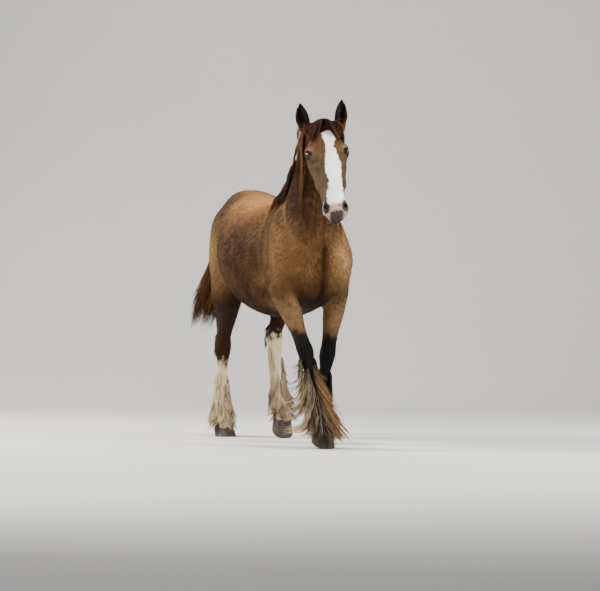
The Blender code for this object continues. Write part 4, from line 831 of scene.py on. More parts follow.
# Grain of the hair: fine streaks along the coat and broad soft patches, used by hide and hair
grain, grain_in, grain_out = node_group(
    "CoatGrain", (("Colour", "Color"), ("Streaks", "Float")), (("Colour", "Color"), ("Height", "Float")))
place = add_node(grain, "TexCoord")
stretch = add_node(grain, "Mapping", (("Vector", place.outputs["Object"]),
                                      ("Rotation", (math.radians(-28), 0, 0)), ("Scale", (420, 60, 330))))
streak = add_node(grain, "TexNoise", (("Vector", stretch.outputs[0]), ("Scale", 1.0), ("Detail", 3.0)))
patch = add_node(grain, "TexNoise", (("Vector", place.outputs["Object"]), ("Scale", 11.0), ("Detail", 3.0)))
spread = add_node(grain, "MapRange", ((0, streak.outputs["Fac"]), (1, 0.3), (2, 0.7), (3, -1.0), (4, 1.0)))
amount = add_node(grain, "Math", ((0, spread.outputs[0]), (1, grain_in.outputs["Streaks"])),
                  operation="MULTIPLY")
broad = add_node(grain, "MapRange", ((0, patch.outputs["Fac"]), (1, 0.3), (2, 0.7), (3, 0.88), (4, 1.12)))
total = add_node(grain, "Math", ((0, broad.outputs[0]), (1, amount.outputs[0])), operation="ADD")
tinted = add_node(grain, "VectorMath", ((0, grain_in.outputs["Colour"]),), operation="SCALE")
grain.links.new(total.outputs[0], tinted.inputs["Scale"])
grain.links.new(tinted.outputs[0], grain_out.inputs["Colour"])
grain.links.new(streak.outputs["Fac"], grain_out.inputs["Height"])


def new_material(name, roughness, shine):
    """A material with its roughness and shine set, its node tree and its shader."""
    made = bpy.data.materials.new(name)
    made.use_nodes = True
    shader = made.node_tree.nodes["Principled BSDF"]
    shader.inputs["Roughness"].default_value = roughness
    shader.inputs["Specular IOR Level"].default_value = shine
    return made, made.node_tree, shader


def coat_material(name, streaks, roughness, shine, bump):
    """Hair or hide: the point's own colour with the grain, a soft shine and the grain as bump."""
    made, tree, shader = new_material(name, roughness, shine)
    own = add_node(tree, "Attribute", attribute_name="coat")
    shade = tree.nodes.new("ShaderNodeGroup")
    shade.node_tree = grain
    shade.inputs["Streaks"].default_value = streaks
    tree.links.new(own.outputs["Color"], shade.inputs["Colour"])
    tree.links.new(shade.outputs["Colour"], shader.inputs["Base Color"])
    raised = add_node(tree, "Bump", (("Strength", bump), ("Distance", 0.002),
                                     ("Height", shade.outputs["Height"])))
    tree.links.new(raised.outputs[0], shader.inputs["Normal"])
    return made


def corners_of(mesh):
    """Point numbers of a mesh's triangles, three to a row."""
    mesh.calc_loop_triangles()
    found = np.empty(len(mesh.loop_triangles) * 3, np.int64)
    mesh.loop_triangles.foreach_get("vertices", found)
    return found.reshape(-1, 3)


points = points_of(skin.data)
add_colours(skin.data, coat_colour(points) * 0.92)
corners = corners_of(skin.data)
no_ears = corners[ear_share(points)[corners].max(1) < 0.2]
skin_tree = BVHTree.FromPolygons(points.tolist(), no_ears.tolist())
hide = coat_material("bay hide", 0.16, 0.70, 0.06, 0.30)
skin.data.materials.clear()
skin.data.materials.append(hide)
skin.data.shade_smooth()

# Eyes. A brown ball with a clear bulging cornea, a wide pupil lying along the lids, held in the
# socket by dark lid rims and fringed above by lashes.
wet_eye, tree, shader = new_material("wet eye", 0.18, 0.25)
own = add_node(tree, "Attribute", attribute_name="coat")
tree.links.new(own.outputs["Color"], shader.inputs["Base Color"])
shader.inputs["Coat Weight"].default_value = 0.45
shader.inputs["Coat Roughness"].default_value = 0.03


def eyeball(side, name):
    """Rings round the gaze: a sphere whose front swells by a smooth cap into the cornea."""
    up = np.linspace(0.02, math.pi - 0.02, 40)[:, None]
    turn = np.linspace(0, 2 * math.pi, 48, endpoint=False)[None, :]
    radius = (EYE_RADIUS - 0.0002) / HEAD_SIZE + 0.0016 * rises(-up, -0.72, -0.30)
    wide, high = radius * np.sin(up), radius * np.cos(up)
    ball = np.stack([wide * np.cos(turn), wide * np.sin(turn), high + 0 * turn], 2)
    flat = np.vstack([ball.reshape(-1, 3), [[0, 0, ball[0, 0, 2]], [0, 0, ball[-1, 0, 2]]]])
    long_way, short_way = flat[:, 0], flat[:, 1]
    iris = np.hypot(long_way / 0.0150, short_way / 0.0135)
    pupil = np.hypot(long_way / 0.0098, short_way / 0.0060)
    streaks = 0.5 + 0.5 * np.sin(np.arctan2(short_way, long_way) * 34 + 2 * np.sin(iris * 9))
    colour = np.tile(np.array((0.016, 0.009, 0.006)), (len(flat), 1))
    colour = blend(colour, (0.020, 0.0075, 0.0030), rises(-iris, -1.05, -0.95))
    colour = blend(colour, (0.042, 0.016, 0.0055), streaks * rises(-iris, -0.95, -0.80) * 0.7)
    colour = blend(colour, (0.0015, 0.0015, 0.002), rises(-pupil, -1.10, -0.90) * (flat[:, 2] > 0))
    made = new_object(name, flat, ring_faces(40, 48), eye_frame(side))
    add_colours(made.data, colour)
    made.data.materials.append(wet_eye)
    made.data.shade_smooth()
    return made


def lid_rim():
    """Middle line of the lid rims, an almond lying on the ball: x along the eye, y up."""
    turn = np.linspace(0, 2 * math.pi, 64, endpoint=False)
    x = 0.0190 * np.cos(turn)
    y = np.where(np.sin(turn) > 0, 0.0136, 0.0118) * np.sin(turn) * np.abs(np.sin(turn)) ** 0.12
    return np.stack([x, y, np.sqrt(0.0226**2 - x**2 - y**2)], 1) / HEAD_SIZE


def lids(side, name):
    """Both lid rims as one closed tube that runs round the eye."""
    line = lid_rim()
    out = unit(line)
    across = np.cross(unit(np.roll(line, -1, 0) - np.roll(line, 1, 0)), out)
    turn = np.linspace(0, 2 * math.pi, 10, endpoint=False)[None, :, None]
    rings = line[:, None] + 0.0021 * (np.cos(turn) * across[:, None] + np.sin(turn) * out[:, None])
    n, m = rings.shape[:2]
    k, j = np.meshgrid(np.arange(n), np.arange(m), indexing="ij")
    quads = np.stack([k * m + j, k * m + (j + 1) % m, (k + 1) % n * m + (j + 1) % m, (k + 1) % n * m + j], 2)
    made = new_object(name, rings.reshape(-1, 3), quads.reshape(-1, 4).tolist(), eye_frame(side))
    add_colours(made.data, np.tile(np.array((0.022, 0.015, 0.012)), (n * m, 1)))
    made.data.materials.append(hide)
    made.data.shade_smooth()
    return made


def move_in(obj, *nodes, slot):
    """Moves a finished piece to its place in the frame and hides the parts it stands for."""
    obj.data.transform(PLACE)
    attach(obj, "root")
    if nodes:
        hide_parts(*nodes)


for side, word in ((1, "left"), (-1, "right")):
    move_in(eyeball(side, f"eye_{word}_ball"), f"eye_{word}", slot="eye")
    move_in(lids(side, "lids_" + word), slot="bay_coat")

# Hooves. Grey-brown horn that grows down from the coronet in faint rings, flat underneath.
# Rows of a form, with the toe as front and the heel as back
HOOF_ROWS = (
    (0, 0.000, 0.0, SOLE_LENGTH, 0.0, SOLE_HALF_WIDTH, 2.2, 0.05),
    (0, 0.022, 0.026, SOLE_LENGTH + 0.010, 0.012, SOLE_HALF_WIDTH - 0.003, 2.2, 0.05),
    (0, 0.042, 0.052, SOLE_LENGTH + 0.019, 0.024, SOLE_HALF_WIDTH - 0.007, 2.2, 0.05),
    (0, CORONET_FRONT, TOE_RISE, CORONET_BACK, HEEL_RISE, CORONET_HALF_WIDTH, 2.1, 0.0),
)


def hoof_shape(name, hoof):
    """Rings up the hoof with a ripple of growth rings; nothing reaches below the floor."""
    rings = form_rings(HOOF_ROWS, 40, 9)
    share = np.linspace(0, 1, len(rings))[:, None, None]
    middle = rings.mean(1, keepdims=True)
    rings = middle + (rings - middle) * (1 + 0.007 * np.sin(share * 44) * rises(share, 0.0, 0.2))
    points = np.vstack([rings.reshape(-1, 3), rings[0].mean(0), rings[-1].mean(0)])
    made = new_object(name, points, ring_faces(*rings.shape[:2]), hoof_place(hoof))
    placed = points_of(made.data)
    placed[:, 2] = np.maximum(placed[:, 2], 0.0)
    put_points(made.data, placed)
    band = wobble(placed, 0.03)
    colour = np.tile(np.array((0.060, 0.046, 0.036)), (len(placed), 1))
    colour = blend(colour, (0.018, 0.014, 0.012), np.clip(0.5 + 0.5 * band, 0, 1) * 0.7)
    add_colours(made.data, colour)
    made.data.shade_smooth()
    return made


horn, tree, shader = new_material("hoof horn", 0.6, 0.2)
own = add_node(tree, "Attribute", attribute_name="coat")
where = add_node(tree, "TexCoord")
lines = add_node(tree, "Mapping", (("Vector", where.outputs["Object"]), ("Scale", (240, 240, 25))))
fibre = add_node(tree, "TexNoise", (("Vector", lines.outputs[0]), ("Scale", 1.0), ("Detail", 4.0)))
worn = add_node(tree, "MapRange", ((0, fibre.outputs["Fac"]), (1, 0.3), (2, 0.7), (3, 0.7), (4, 1.3)))
shade = add_node(tree, "VectorMath", ((0, own.outputs["Color"]),), operation="SCALE")
tree.links.new(worn.outputs[0], shade.inputs["Scale"])
tree.links.new(shade.outputs[0], shader.inputs["Base Color"])
raised = add_node(tree, "Bump", (("Strength", 0.4), ("Distance", 0.001), ("Height", fibre.outputs["Fac"])))
tree.links.new(raised.outputs[0], shader.inputs["Normal"])
for name, (_, hoof) in LEGS.items():
    made = hoof_shape(name + "_horn", hoof)
    made.data.materials.append(horn)
    move_in(made, name + "_hoof", slot="horn")

# Coat. Short overlapping tufts that lie along the body over the whole hide, smallest on the face
# and shortest on the legs, so that the outline and the light break up like a real coat.
# Corners across a tuft, in its half width and thickness; half the side of its patch on the unwrap;
# middle of the bare rim of the nostril
BLADE = np.array(((-1.0, -0.35), (1.0, -0.35), (0.0, 1.0)))
PATCH = 0.0014
NOSTRIL_RIM = Vector((0.050, -0.526, -0.040))


def blade_faces(rings):
    """Triangles of one tuft: a cap at the root, three sides from ring to ring, a fan at the tip."""
    faces = [(0, 2, 1)]
    for k in range(rings - 1):
        for q in range(3):
            a, b = 3 * k + q, 3 * k + (q + 1) % 3
            faces += [(a, b, b + 3), (a, b + 3, a + 3)]
    last = 3 * (rings - 1)
    return np.array(faces + [(last + q, last + (q + 1) % 3, 3 * rings) for q in range(3)])


def unwrapped(points):
    """The hide opened out flat: trunk, neck and head as a sheet cut along the belly, the legs as
    four strips beside it. Across is the angle round the limb's axis, up is the way along it."""
    spine = np.array([(0, 0.95, 1.05), (0, 0.50, 1.10), (0, 0.0, 1.0), (0, -0.36, 1.10), (0, -0.48, 1.36),
                      (0, -0.58, 1.60)] + [tuple(HEAD_PLACE @ Vector((0, y, -0.10))) for y in (-0.15, -0.62)])
    steps = np.linalg.norm(np.diff(spine, axis=0), axis=1)
    starts = np.concatenate([[0], np.cumsum(steps)])
    best, u, v = np.full(len(points), 9.0), np.zeros(len(points)), np.zeros(len(points))
    for a, b, start, step in zip(spine[:-1], spine[1:], starts, steps):
        way = (b - a) / step
        t = np.clip((points - a) @ way, 0, step)
        off = points - a - t[:, None] * way
        far = (off**2).sum(1)
        up = np.cross((1.0, 0, 0), -way)
        near = far < best
        best = np.where(near, far, best)
        u = np.where(near, np.arctan2(off[:, 0], off @ up) / (2 * math.pi) + 0.5, u)
        v = np.where(near, (start + t) / starts[-1], v)
    u = 0.01 + 0.60 * u
    x, y, z = points.T
    for k, (fore, left) in enumerate(((True, False), (True, True), (False, False), (False, True))):
        name = ("fore_" if fore else "hind_") + ("left" if left else "right")
        joints = np.array(LEGS[name][0])[::-1]
        mine = (z < 0.78) & ((y < -0.05) == fore) & ((x > 0) == left)
        ax, ay = (np.interp(z, joints[:, 2], joints[:, c]) for c in (0, 1))
        turn = np.arctan2(x - ax, y - ay) / (2 * math.pi) + 0.5
        u = np.where(mine, 0.64 + 0.09 * (k + 0.92 * turn), u)
        v = np.where(mine, z / 0.80, v)
    return np.stack([u, v], 1)


def strands(name, paths, outward, half, thick, root_colour, tip_colour, material):
    """One mesh of many tufts or hairs. Each is a three-sided blade along its path, a little wider
    past the root and tapering to a point, with its flat side to `outward`. The colour goes from
    root to tip, and each blade has its own small patch at its root's place on the unwrap."""
    count, rings = paths.shape[0], paths.shape[1] - 1
    half, thick = np.broadcast_to(half, count), np.broadcast_to(thick, count)
    run = unit(np.gradient(paths, axis=1), 1e-12)
    if outward.ndim == 2:
        outward = outward[:, None, :] + 0 * run
    side = unit(np.cross(outward, run), 1e-12)
    up = np.cross(run, side)
    s = np.linspace(0, 1, rings + 1)
    taper = (0.60 + 0.40 * np.sin(np.pi * np.minimum(s * 1.4, 0.5))) * (1 - s**2.4)
    wide = (half[:, None] * taper[:-1])[:, :, None, None] * BLADE[:, 0][:, None]
    high = (thick[:, None] * taper[:-1])[:, :, None, None] * BLADE[:, 1][:, None]
    body = paths[:, :-1, None] + wide * side[:, :-1, None] + high * up[:, :-1, None]
    blades = np.concatenate([body.reshape(count, rings * 3, 3), paths[:, -1:]], 1)
    each = rings * 3 + 1
    faces = blade_faces(rings)
    corners = (faces[None] + each * np.arange(count)[:, None, None]).reshape(-1)
    mesh = bpy.data.meshes.new(name)
    mesh.vertices.add(count * each)
    mesh.loops.add(len(corners))
    mesh.polygons.add(len(corners) // 3)
    mesh.vertices.foreach_set("co", blades.ravel())
    mesh.loops.foreach_set("vertex_index", corners)
    mesh.polygons.foreach_set("loop_start", np.arange(0, len(corners), 3))
    mesh.update(calc_edges=True)
    along = np.append(np.repeat(s[:-1], 3), 1.0)[None, :, None]
    shade = root_colour[:, None] * (1 - along) + tip_colour[:, None] * along
    add_colours(mesh, shade.reshape(-1, 3))
    place = unwrapped(paths[:, 0])
    place = 0.01 + 0.98 * (place - place.min(0)) / (np.ptp(place, axis=0) + 1e-9)
    own_u = np.append(np.tile((-1.0, 1.0, 0.0), rings), 0.0)
    own_v = np.append(np.repeat(s[:-1] * 2 - 1, 3) + np.tile((0, 0, 0.15), rings), 1.0)
    patches = place[:, None] + PATCH * np.stack([own_u, own_v], 1)[None]
    layer = mesh.uv_layers.new(name="OFBake")
    layer.uv.foreach_set("vector", patches.reshape(-1, 2)[corners].ravel())
    mesh.materials.append(material)
    mesh.shade_smooth()
    return linked(name, mesh)


def skin_roots(weight, count):
    """Random points on the hide, thicker where the weight is higher, with the hide's normals."""
    corners, p, n = corners_of(skin.data), points_of(skin.data), normals_of(skin.data)
    a, b, c = (p[corners[:, k]] for k in range(3))
    area = np.linalg.norm(np.cross(b - a, c - a), axis=1) * weight[corners].mean(1)
    pick = chance.choice(len(corners), count, p=area / area.sum())
    r = chance.random((count, 2))
    r = np.where(r.sum(1, keepdims=True) > 1, 1 - r, r)
    share = np.stack([1 - r.sum(1), r[:, 0], r[:, 1]], 1)
    found = (p[corners[pick]] * share[:, :, None]).sum(1)
    return found, unit((n[corners[pick]] * share[:, :, None]).sum(1))


def lie_of(points, normals):
    """Which way the hair lies, along the hide: back and down the body, down the neck and legs,
    towards the lips on the face and up the ears, each turned a few degrees at random."""
    head = head_share(points)
    local = in_head(points)
    way = np.tile((0.0, 0.85, -0.50), (len(points), 1))
    way = blend(way, (0.0, 0.45, -0.90), rises(-points[:, 1], 0.25, 0.45) * rises(points[:, 2], 1.05, 1.25))
    way = blend(way, (0.0, 0.12, -1.0), rises(-points[:, 2], -0.90, -0.72))
    forward = np.array(HEAD_PLACE.to_3x3().normalized() @ Vector((0, -1, -0.12)))
    way = blend(way, forward, head)
    way = blend(way, (0.0, 0.1, 1.0), head * rises(local[:, 1] + local[:, 2], 0.040, 0.075))
    way = unit(way - normals * (way * normals).sum(1)[:, None], 1e-9)
    turn = chance.normal(0, 0.13, len(points))[:, None]
    return way * np.cos(turn) + np.cross(normals, way) * np.sin(turn)


def coat_piece(name, weight, count, material):
    """Tufts of a part of the body, their size set by where they grow."""
    p, n = skin_roots(weight, count)
    local, head = in_head(p), head_share(p)
    eyes, holes = distance_to_pair(local, EYE), distance_to_pair(local, NOSTRIL_RIM, (0.6, 1.4, 1.0))
    keep = (eyes > 0.026) & (holes > 0.022) & (p[:, 2] > 0.07)
    p, n, local, head = p[keep], n[keep], local[keep], head[keep]
    way = lie_of(p, n)
    low = rises(-p[:, 2], -0.86, -0.66)
    length = 0.030 + 0.006 * rises(-p[:, 2], -0.95, -0.75) * (1 - low) - 0.010 * low
    length = length - 0.004 * rises(-p[:, 2], -0.5, -0.4)
    on_face = 0.0095 + 0.007 * rises(-local[:, 2], 0.12, 0.19) - 0.004 * rises(-local[:, 1], 0.45, 0.52)
    length = (length * (1 - head) + head * on_face) * chance.uniform(0.75, 1.25, len(p))
    half = np.minimum(length * 0.062, 0.0015) * chance.uniform(0.8, 1.2, len(p))
    rise = length[:, None] * chance.uniform(0.02, 0.08, len(p))[:, None]
    paths = np.stack([p - 0.0007 * n, p + way * length[:, None] * 0.5 + n * (0.0004 + 0.6 * rise),
                      p + way * length[:, None] + n * rise], 1)
    colour = coat_colour(p) * (1 + 0.16 * wobble(p, 0.035))[:, None]
    root = colour * chance.uniform(0.95, 1.12, len(p))[:, None]
    tip = colour * chance.uniform(1.05, 1.40, len(p))[:, None]
    return strands(name, paths, n, half, half * 0.30, root, tip, material)


coat_hair = coat_material("bay hair", 0.10, 0.64, 0.05, 0.0)
_, y, z = points.T
head = head_share(points)
in_front = rises(-y, -0.02, 0.02) * (1 - head)
upper = rises(z, 0.78, 0.82)
for name, weight, tufts in (("coat_head", head, 18500), ("coat_forehand", in_front * upper, 18500),
                            ("coat_quarters", (1 - head) * (1 - in_front) * upper, 18500),
                            ("coat_legs", (1 - head) * (1 - upper), 14000)):
    move_in(coat_piece(name, weight, tufts, coat_hair), slot="bay_coat")

# Mane. Locks from the crest: most fall down the left side of the neck, some to the right at the
# withers, and long rusty ones hang down behind the right cheek.
def smoothed(guides, fine=25):
    """Guides of a few points each, (lock, point, xyz), drawn out into curves of many points and
    eased by moving each point halfway to the middle of its neighbours, eight times."""
    n, m, _ = guides.shape
    drawn = drawn_out(guides.transpose(1, 0, 2).reshape(m, n * 3), 8)
    pick = np.linspace(0, len(drawn) - 1, fine).round().astype(int)
    curve = drawn[pick].reshape(fine, n, 3).transpose(1, 0, 2)
    for _ in range(8):
        curve[:, 1:-1] += 0.5 * (0.5 * (curve[:, :-2] + curve[:, 2:]) - curve[:, 1:-1])
    return curve


def lock_of(guides, facing, count, spread, depth, gather, curl, short=0.55, points=6):
    """Hairs of locks: each runs beside its lock's guide, set off across and outwards by its own
    amounts, which shrink towards the tip by `gather`, and stops at its own length; `curl` waves it."""
    guides, facing = (np.repeat(smoothed(np.array(part)), count, 0) for part in (guides, facing))
    side = unit(np.cross(facing, np.gradient(guides, axis=1)), 1e-12)
    n, fine, _ = guides.shape
    s = np.linspace(0, 1, fine)[None, :]
    across, outward = chance.uniform(-1, 1, (n, 1)), chance.uniform(0, 1, (n, 1))
    narrow = np.sin(np.pi * np.minimum(0.06 + s * 0.9, 0.5)) * (1 - gather * s**1.5)
    wave = curl * s * np.sin(2 * math.pi * (s * chance.uniform(1.0, 2.6, (n, 1)) + chance.random((n, 1))))
    offset = (across * spread * narrow + wave)[..., None] * side + (outward * depth * narrow)[..., None] * facing
    full = guides + offset
    stops = np.linspace(0, 1, points)[None, :] * chance.uniform(short, 1.0, (n, 1)) ** 0.7 * (fine - 1)
    k = np.minimum(stops.astype(int), fine - 2)
    f = (stops - k)[..., None]
    rows = np.arange(n)[:, None]
    return full[rows, k] * (1 - f) + full[rows, k + 1] * f, facing[rows, k]


def laid_on(guides, heights):
    """Guide points laid on the hide at their heights, and the hide's normals there."""
    path, facing = [], []
    for point, height in zip(guides, heights):
        place, normal = skin_tree.find_nearest(Vector(point))[:2]
        path.append(tuple(place + normal * height))
        facing.append(tuple(normal))
    return path, facing


def long_hair(name, paths, facing, half, thick, root, tip, material):
    """Hairs of a lock as blades, each with its own size."""
    size = chance.uniform(0.7, 1.25, len(paths))
    return strands(name, paths, facing, half * size, thick * size, root, tip, material)


def tone(n, colours, shares, each=1):
    """One of several colours for each hair, picked by share, a little lighter or darker; `each`
    hairs of a lock mostly have the lock's colour."""
    odds = np.array(shares) / np.sum(shares)
    locks = np.repeat(chance.choice(len(colours), -(-n // each), p=odds), each)[:n]
    single = chance.choice(len(colours), n, p=odds)
    picked = np.array(colours)[np.where(chance.random(n) < 0.65, locks, single)]
    return picked * chance.uniform(0.82, 1.22, n)[:, None]


long_material = coat_material("long hair", 0.08, 0.62, 0.05, 0.0)
crest = drawn_out([(row[1], row[2]) for row in NECK[1:7]], 12)
locks, each = 132, 38
guides, facings, cheeks = [], [], []
for k in range(locks):
    at = 0.93 * (k + chance.random()) / locks
    y, z = crest[int(at * (len(crest) - 1))]
    behind_cheek = at > 0.82 and chance.random() < 0.60
    right = behind_cheek or chance.random() < 0.10 * (at < 0.80) + 0.64 * (at < 0.38)
    side = -1 if right else 1
    cheeks.append(behind_cheek)
    length = 0.50 if behind_cheek else 0.20 if right or at < 0.08 else 0.265
    length *= chance.uniform(0.55, 1.08) if right and not behind_cheek else chance.uniform(0.75, 1.08)
    drift = chance.uniform(-0.040, 0.035) - 0.02 * at
    start = chance.uniform(-0.010, 0.010)
    line = [(start, y, z), (start + 0.012 * side, y - 0.004, z + 0.004)]
    line += [(0.16 * side, y + (drift - 0.02) * s, z - length * s) for s in (0.18, 0.42, 0.70, 1.0)]
    lift = 0.024 * chance.random() * (1 - at) if right and not behind_cheek else 0.0
    path, facing = laid_on(line, (-0.008, 0.004 + lift, 0.007 + 1.3 * lift, 0.010 + lift,
                                  0.010 + 0.5 * lift, 0.006))
    guides.append(path)
    facings.append(facing)
paths, facing = lock_of(guides, facings, each, 0.024, 0.010, 0.62, curl=0.007, short=0.45)
n = len(paths)
low = rises(-paths[:, 0, 2], -1.56, -1.40)[:, None]
root = tone(n, ((0.014, 0.006, 0.003), (0.007, 0.004, 0.003), (0.040, 0.015, 0.005)), (5, 4, 2), each)
tip = tone(n, ((0.034, 0.014, 0.006), (0.110, 0.042, 0.013), (0.014, 0.007, 0.004)), (4, 3, 4), each)
rusty = rises(np.repeat(np.array(cheeks, float), each), 0.2, 0.8)
rust = tone(n, ((0.130, 0.050, 0.014), (0.210, 0.110, 0.042), (0.030, 0.012, 0.005)), (4, 3, 3), each)
tip = blend(tip * (1 - 0.5 * low), rust, rusty)
root = blend(root, tone(n, ((0.060, 0.023, 0.008), (0.016, 0.008, 0.004)), (3, 3), each), rusty)
mane = long_hair("mane", paths, facing, 0.0013, 0.0007, root, tip, long_material)
move_in(mane, slot="black_feather")

# Forelock. It springs from between the ears, parts in the middle over the blaze and sweeps down
# and out to both sides, nearly black with golden and rusty ends.
locks, each = 96, 32
guides, facings = [], []
for k in range(locks):
    side = -1 if k % 2 else 1
    way = 3.2 * chance.random() ** 1.2
    start = 0.002 + 0.014 * way + chance.uniform(-0.002, 0.003)
    reach = 0.050 + 0.019 * way + chance.uniform(-0.010, 0.008)
    low = -0.150 + 0.024 * way + chance.uniform(-0.020, 0.040)
    lift = chance.uniform(0.35, 1.0) * (1 - 0.21 * way)
    line = [(start * side, 0.024 + chance.uniform(-0.014, 0.012), -0.006),
            ((start + 0.004) * side, -0.008, 0.012),
            ((start * 0.50 + reach * 0.50) * side, low * 0.36, 0.016),
            ((start * 0.08 + reach * 0.92) * side, low * 0.70, 0.000),
            ((reach + 0.012) * side, low, -0.014)]
    path, facing = laid_on([HEAD_PLACE @ Vector(p) for p in line],
                           (0.006, 0.050 * lift, 0.040 * lift, 0.019 * lift, 0.005))
    guides.append(path)
    facings.append(facing)
paths, facing = lock_of(guides, facings, each, 0.013, 0.010, 0.45, curl=0.006, short=0.40)
n = len(paths)
root = tone(n, ((0.0075, 0.0042, 0.0032), (0.014, 0.007, 0.005)), (3, 2), each)
tip = tone(n, ((0.014, 0.008, 0.006), (0.100, 0.036, 0.012), (0.190, 0.095, 0.036), (0.009, 0.005, 0.004)),
           (6, 4, 2, 5), each)
move_in(long_hair("forelock", paths, facing, 0.0011, 0.0006, root, tip, long_material), slot="black_feather")

# Tail. Long hair from all round the dock, brown at the top and lighter and ragged at the ends,
# hanging behind the hocks a little to the right.
# Rows down the dock: x, y top, z top, y bottom, z bottom
DOCK = (
    (-0.002, 0.735, 1.262, 0.790, 1.205),
    (-0.012, 0.810, 1.258, 0.800, 1.180),
    (-0.028, 0.880, 1.190, 0.828, 1.115),
    (-0.050, 0.930, 1.090, 0.862, 1.040),
    (-0.072, 0.960, 0.990, 0.905, 0.960),
    (-0.085, 0.960, 0.930, 0.930, 0.915),
)
spine = drawn_out([((r[1] + r[3]) / 2, (r[2] + r[4]) / 2, r[0]) for r in DOCK], 6)
locks, each = 84, 40
guides, facings = [], []
for k in range(locks):
    y, z, x = spine[int(1 + chance.random() * 27)]
    turn = k * 2.4 + chance.uniform(-0.3, 0.3)
    out = np.array((math.cos(turn), math.sin(turn) * 0.9, 0.0))
    low = 0.575 + chance.random() ** 1.5 * 0.18
    tip = np.array((-0.150 + 0.052 * out[0], 0.990 + 0.046 * out[1], low))
    root = np.array((x, y, z)) + out * 0.008
    drop, swing = tip - root, np.array((0.018, 0.016, 0.0))
    line = [root, root + drop * 0.10 + out * 0.022 + (0, 0.018, 0)]
    line += [root + drop * f + out * 0.024 * (1 - 0.3 * f) + swing * 4 * f * (1 - f)
             for f in (0.35, 0.6, 0.82)]
    guides.append(line + [tip])
    facings.append([out] * 6)
paths, facing = lock_of(guides, facings, each, 0.018, 0.012, 0.60, curl=0.009, short=0.40)
n = len(paths)
root = tone(n, ((0.030, 0.012, 0.004), (0.012, 0.006, 0.003), (0.080, 0.030, 0.009)), (5, 3, 2), each)
tip = tone(n, ((0.075, 0.030, 0.009), (0.170, 0.080, 0.024), (0.016, 0.008, 0.004)), (5, 2, 3), each)
tail = long_hair("tail_hair", paths, facing, 0.0018, 0.0009, root, tip, long_material)
move_in(tail, "tail", slot="tail_hair")

# Feather. The long hair of a gypsy vanner's lower legs: it starts down the back of the cannon,
# goes right round below the fetlock and hangs over the hoof like a bell.
# Tiers of each leg: share of the way from knee or hock to fetlock (more than 1 is down the
# pastern), bearing either side of the back, how far the tips stand out, height of the tips.
FEATHER = {
    "fore_right": ((0.05, 120, 0.046, 0.390), (0.28, 150, 0.096, 0.225), (0.58, 174, 0.144, 0.110),
                   (0.88, 178, 0.164, 0.020), (1.25, 178, 0.122, 0.008)),
    "fore_left": ((0.20, 110, 0.046, 0.270), (0.60, 150, 0.080, 0.100), (1.05, 175, 0.112, 0.012)),
    "hind_right": ((0.38, 130, 0.040, 0.270), (0.66, 150, 0.060, 0.140), (0.90, 172, 0.100, 0.055),
                   (1.16, 178, 0.112, 0.008)),
    "hind_left": ((0.20, 120, 0.042, 0.350), (0.52, 140, 0.056, 0.240), (0.80, 168, 0.088, 0.150),
                  (1.12, 178, 0.100, 0.070)),
}
# How late the locks turn outwards on their way down; the lifted leg's are also swept by its stride
FLARE = {"fore_right": 1.35, "fore_left": 2.0, "hind_right": 2.3, "hind_left": 2.1}


def feather_guides(joints, hoof, tiers, flare, count):
    """Guides of the locks: rooted on the leg at any height between the tiers, lying down it and
    then spreading to their tips, their height falling evenly from root to tip."""
    middle, fetlock, coronet = np.array(joints[1]), np.array(joints[2]), np.array(coronet_of(hoof))
    tiers = np.array(tiers)
    guides, facings = [], []
    for k in range(count):
        t = ((k + chance.random()) / count) ** 0.72 * (len(tiers) - 1)
        share, round_, reach, floor = (np.interp(t, np.arange(len(tiers)), tiers[:, c]) for c in range(4))
        bearing = math.radians(chance.uniform(-round_, round_))
        out = np.array((math.sin(bearing), math.cos(bearing) * 0.95, 0.0))
        share += chance.uniform(-0.10, 0.10)
        if share <= 1:
            base = middle + (fetlock - middle) * share
        else:
            base = fetlock + (coronet - fetlock) * min(share - 0.65, 0.9)
        root = base + out * 0.020
        reach *= chance.uniform(0.82, 1.04) * (1 + 0.16 * max(0.0, -out[1]))
        foot = fetlock if share < 0.5 else coronet
        tip = np.array((foot[0], foot[1], 0)) + out * reach
        tip[2] = floor + chance.random() ** 1.5 * 0.05
        if flare < 1.5:
            swept = max(0.0, 0.342 * out[1] - 0.94 * out[0] - 0.1)
            tip += swept * np.array((-0.100, 0.036, 0.060))
        line = [root]
        for f in (0.16, 0.38, 0.62, 0.84):
            level = root[2] + (tip[2] - root[2]) * f
            if level > fetlock[2]:
                axis = middle + (fetlock - middle) * (middle[2] - level) / (middle[2] - fetlock[2])
            else:
                down = (fetlock[2] - level) / max(fetlock[2] - coronet[2], 0.01)
                axis = fetlock + (coronet - fetlock) * min(down, 1)
            close = 0.032 + 0.012 * max(0.0, 1 - abs(level - fetlock[2]) / 0.06)
            flared = (max(reach, close) - close) * f**flare
            point = np.array((axis[0], axis[1], level)) + out * (close + flared)
            if f < 0.5 and share < 0.9:
                point = np.array(skin_tree.find_nearest(Vector(point - out * flared))[0])
                point = point + out * (0.004 + flared)
            line.append(point)
        guides.append(line + [tip])
        facings.append([out] * 5 + [out * 0.9 + (0, 0, 0.45)])
    return guides, facings


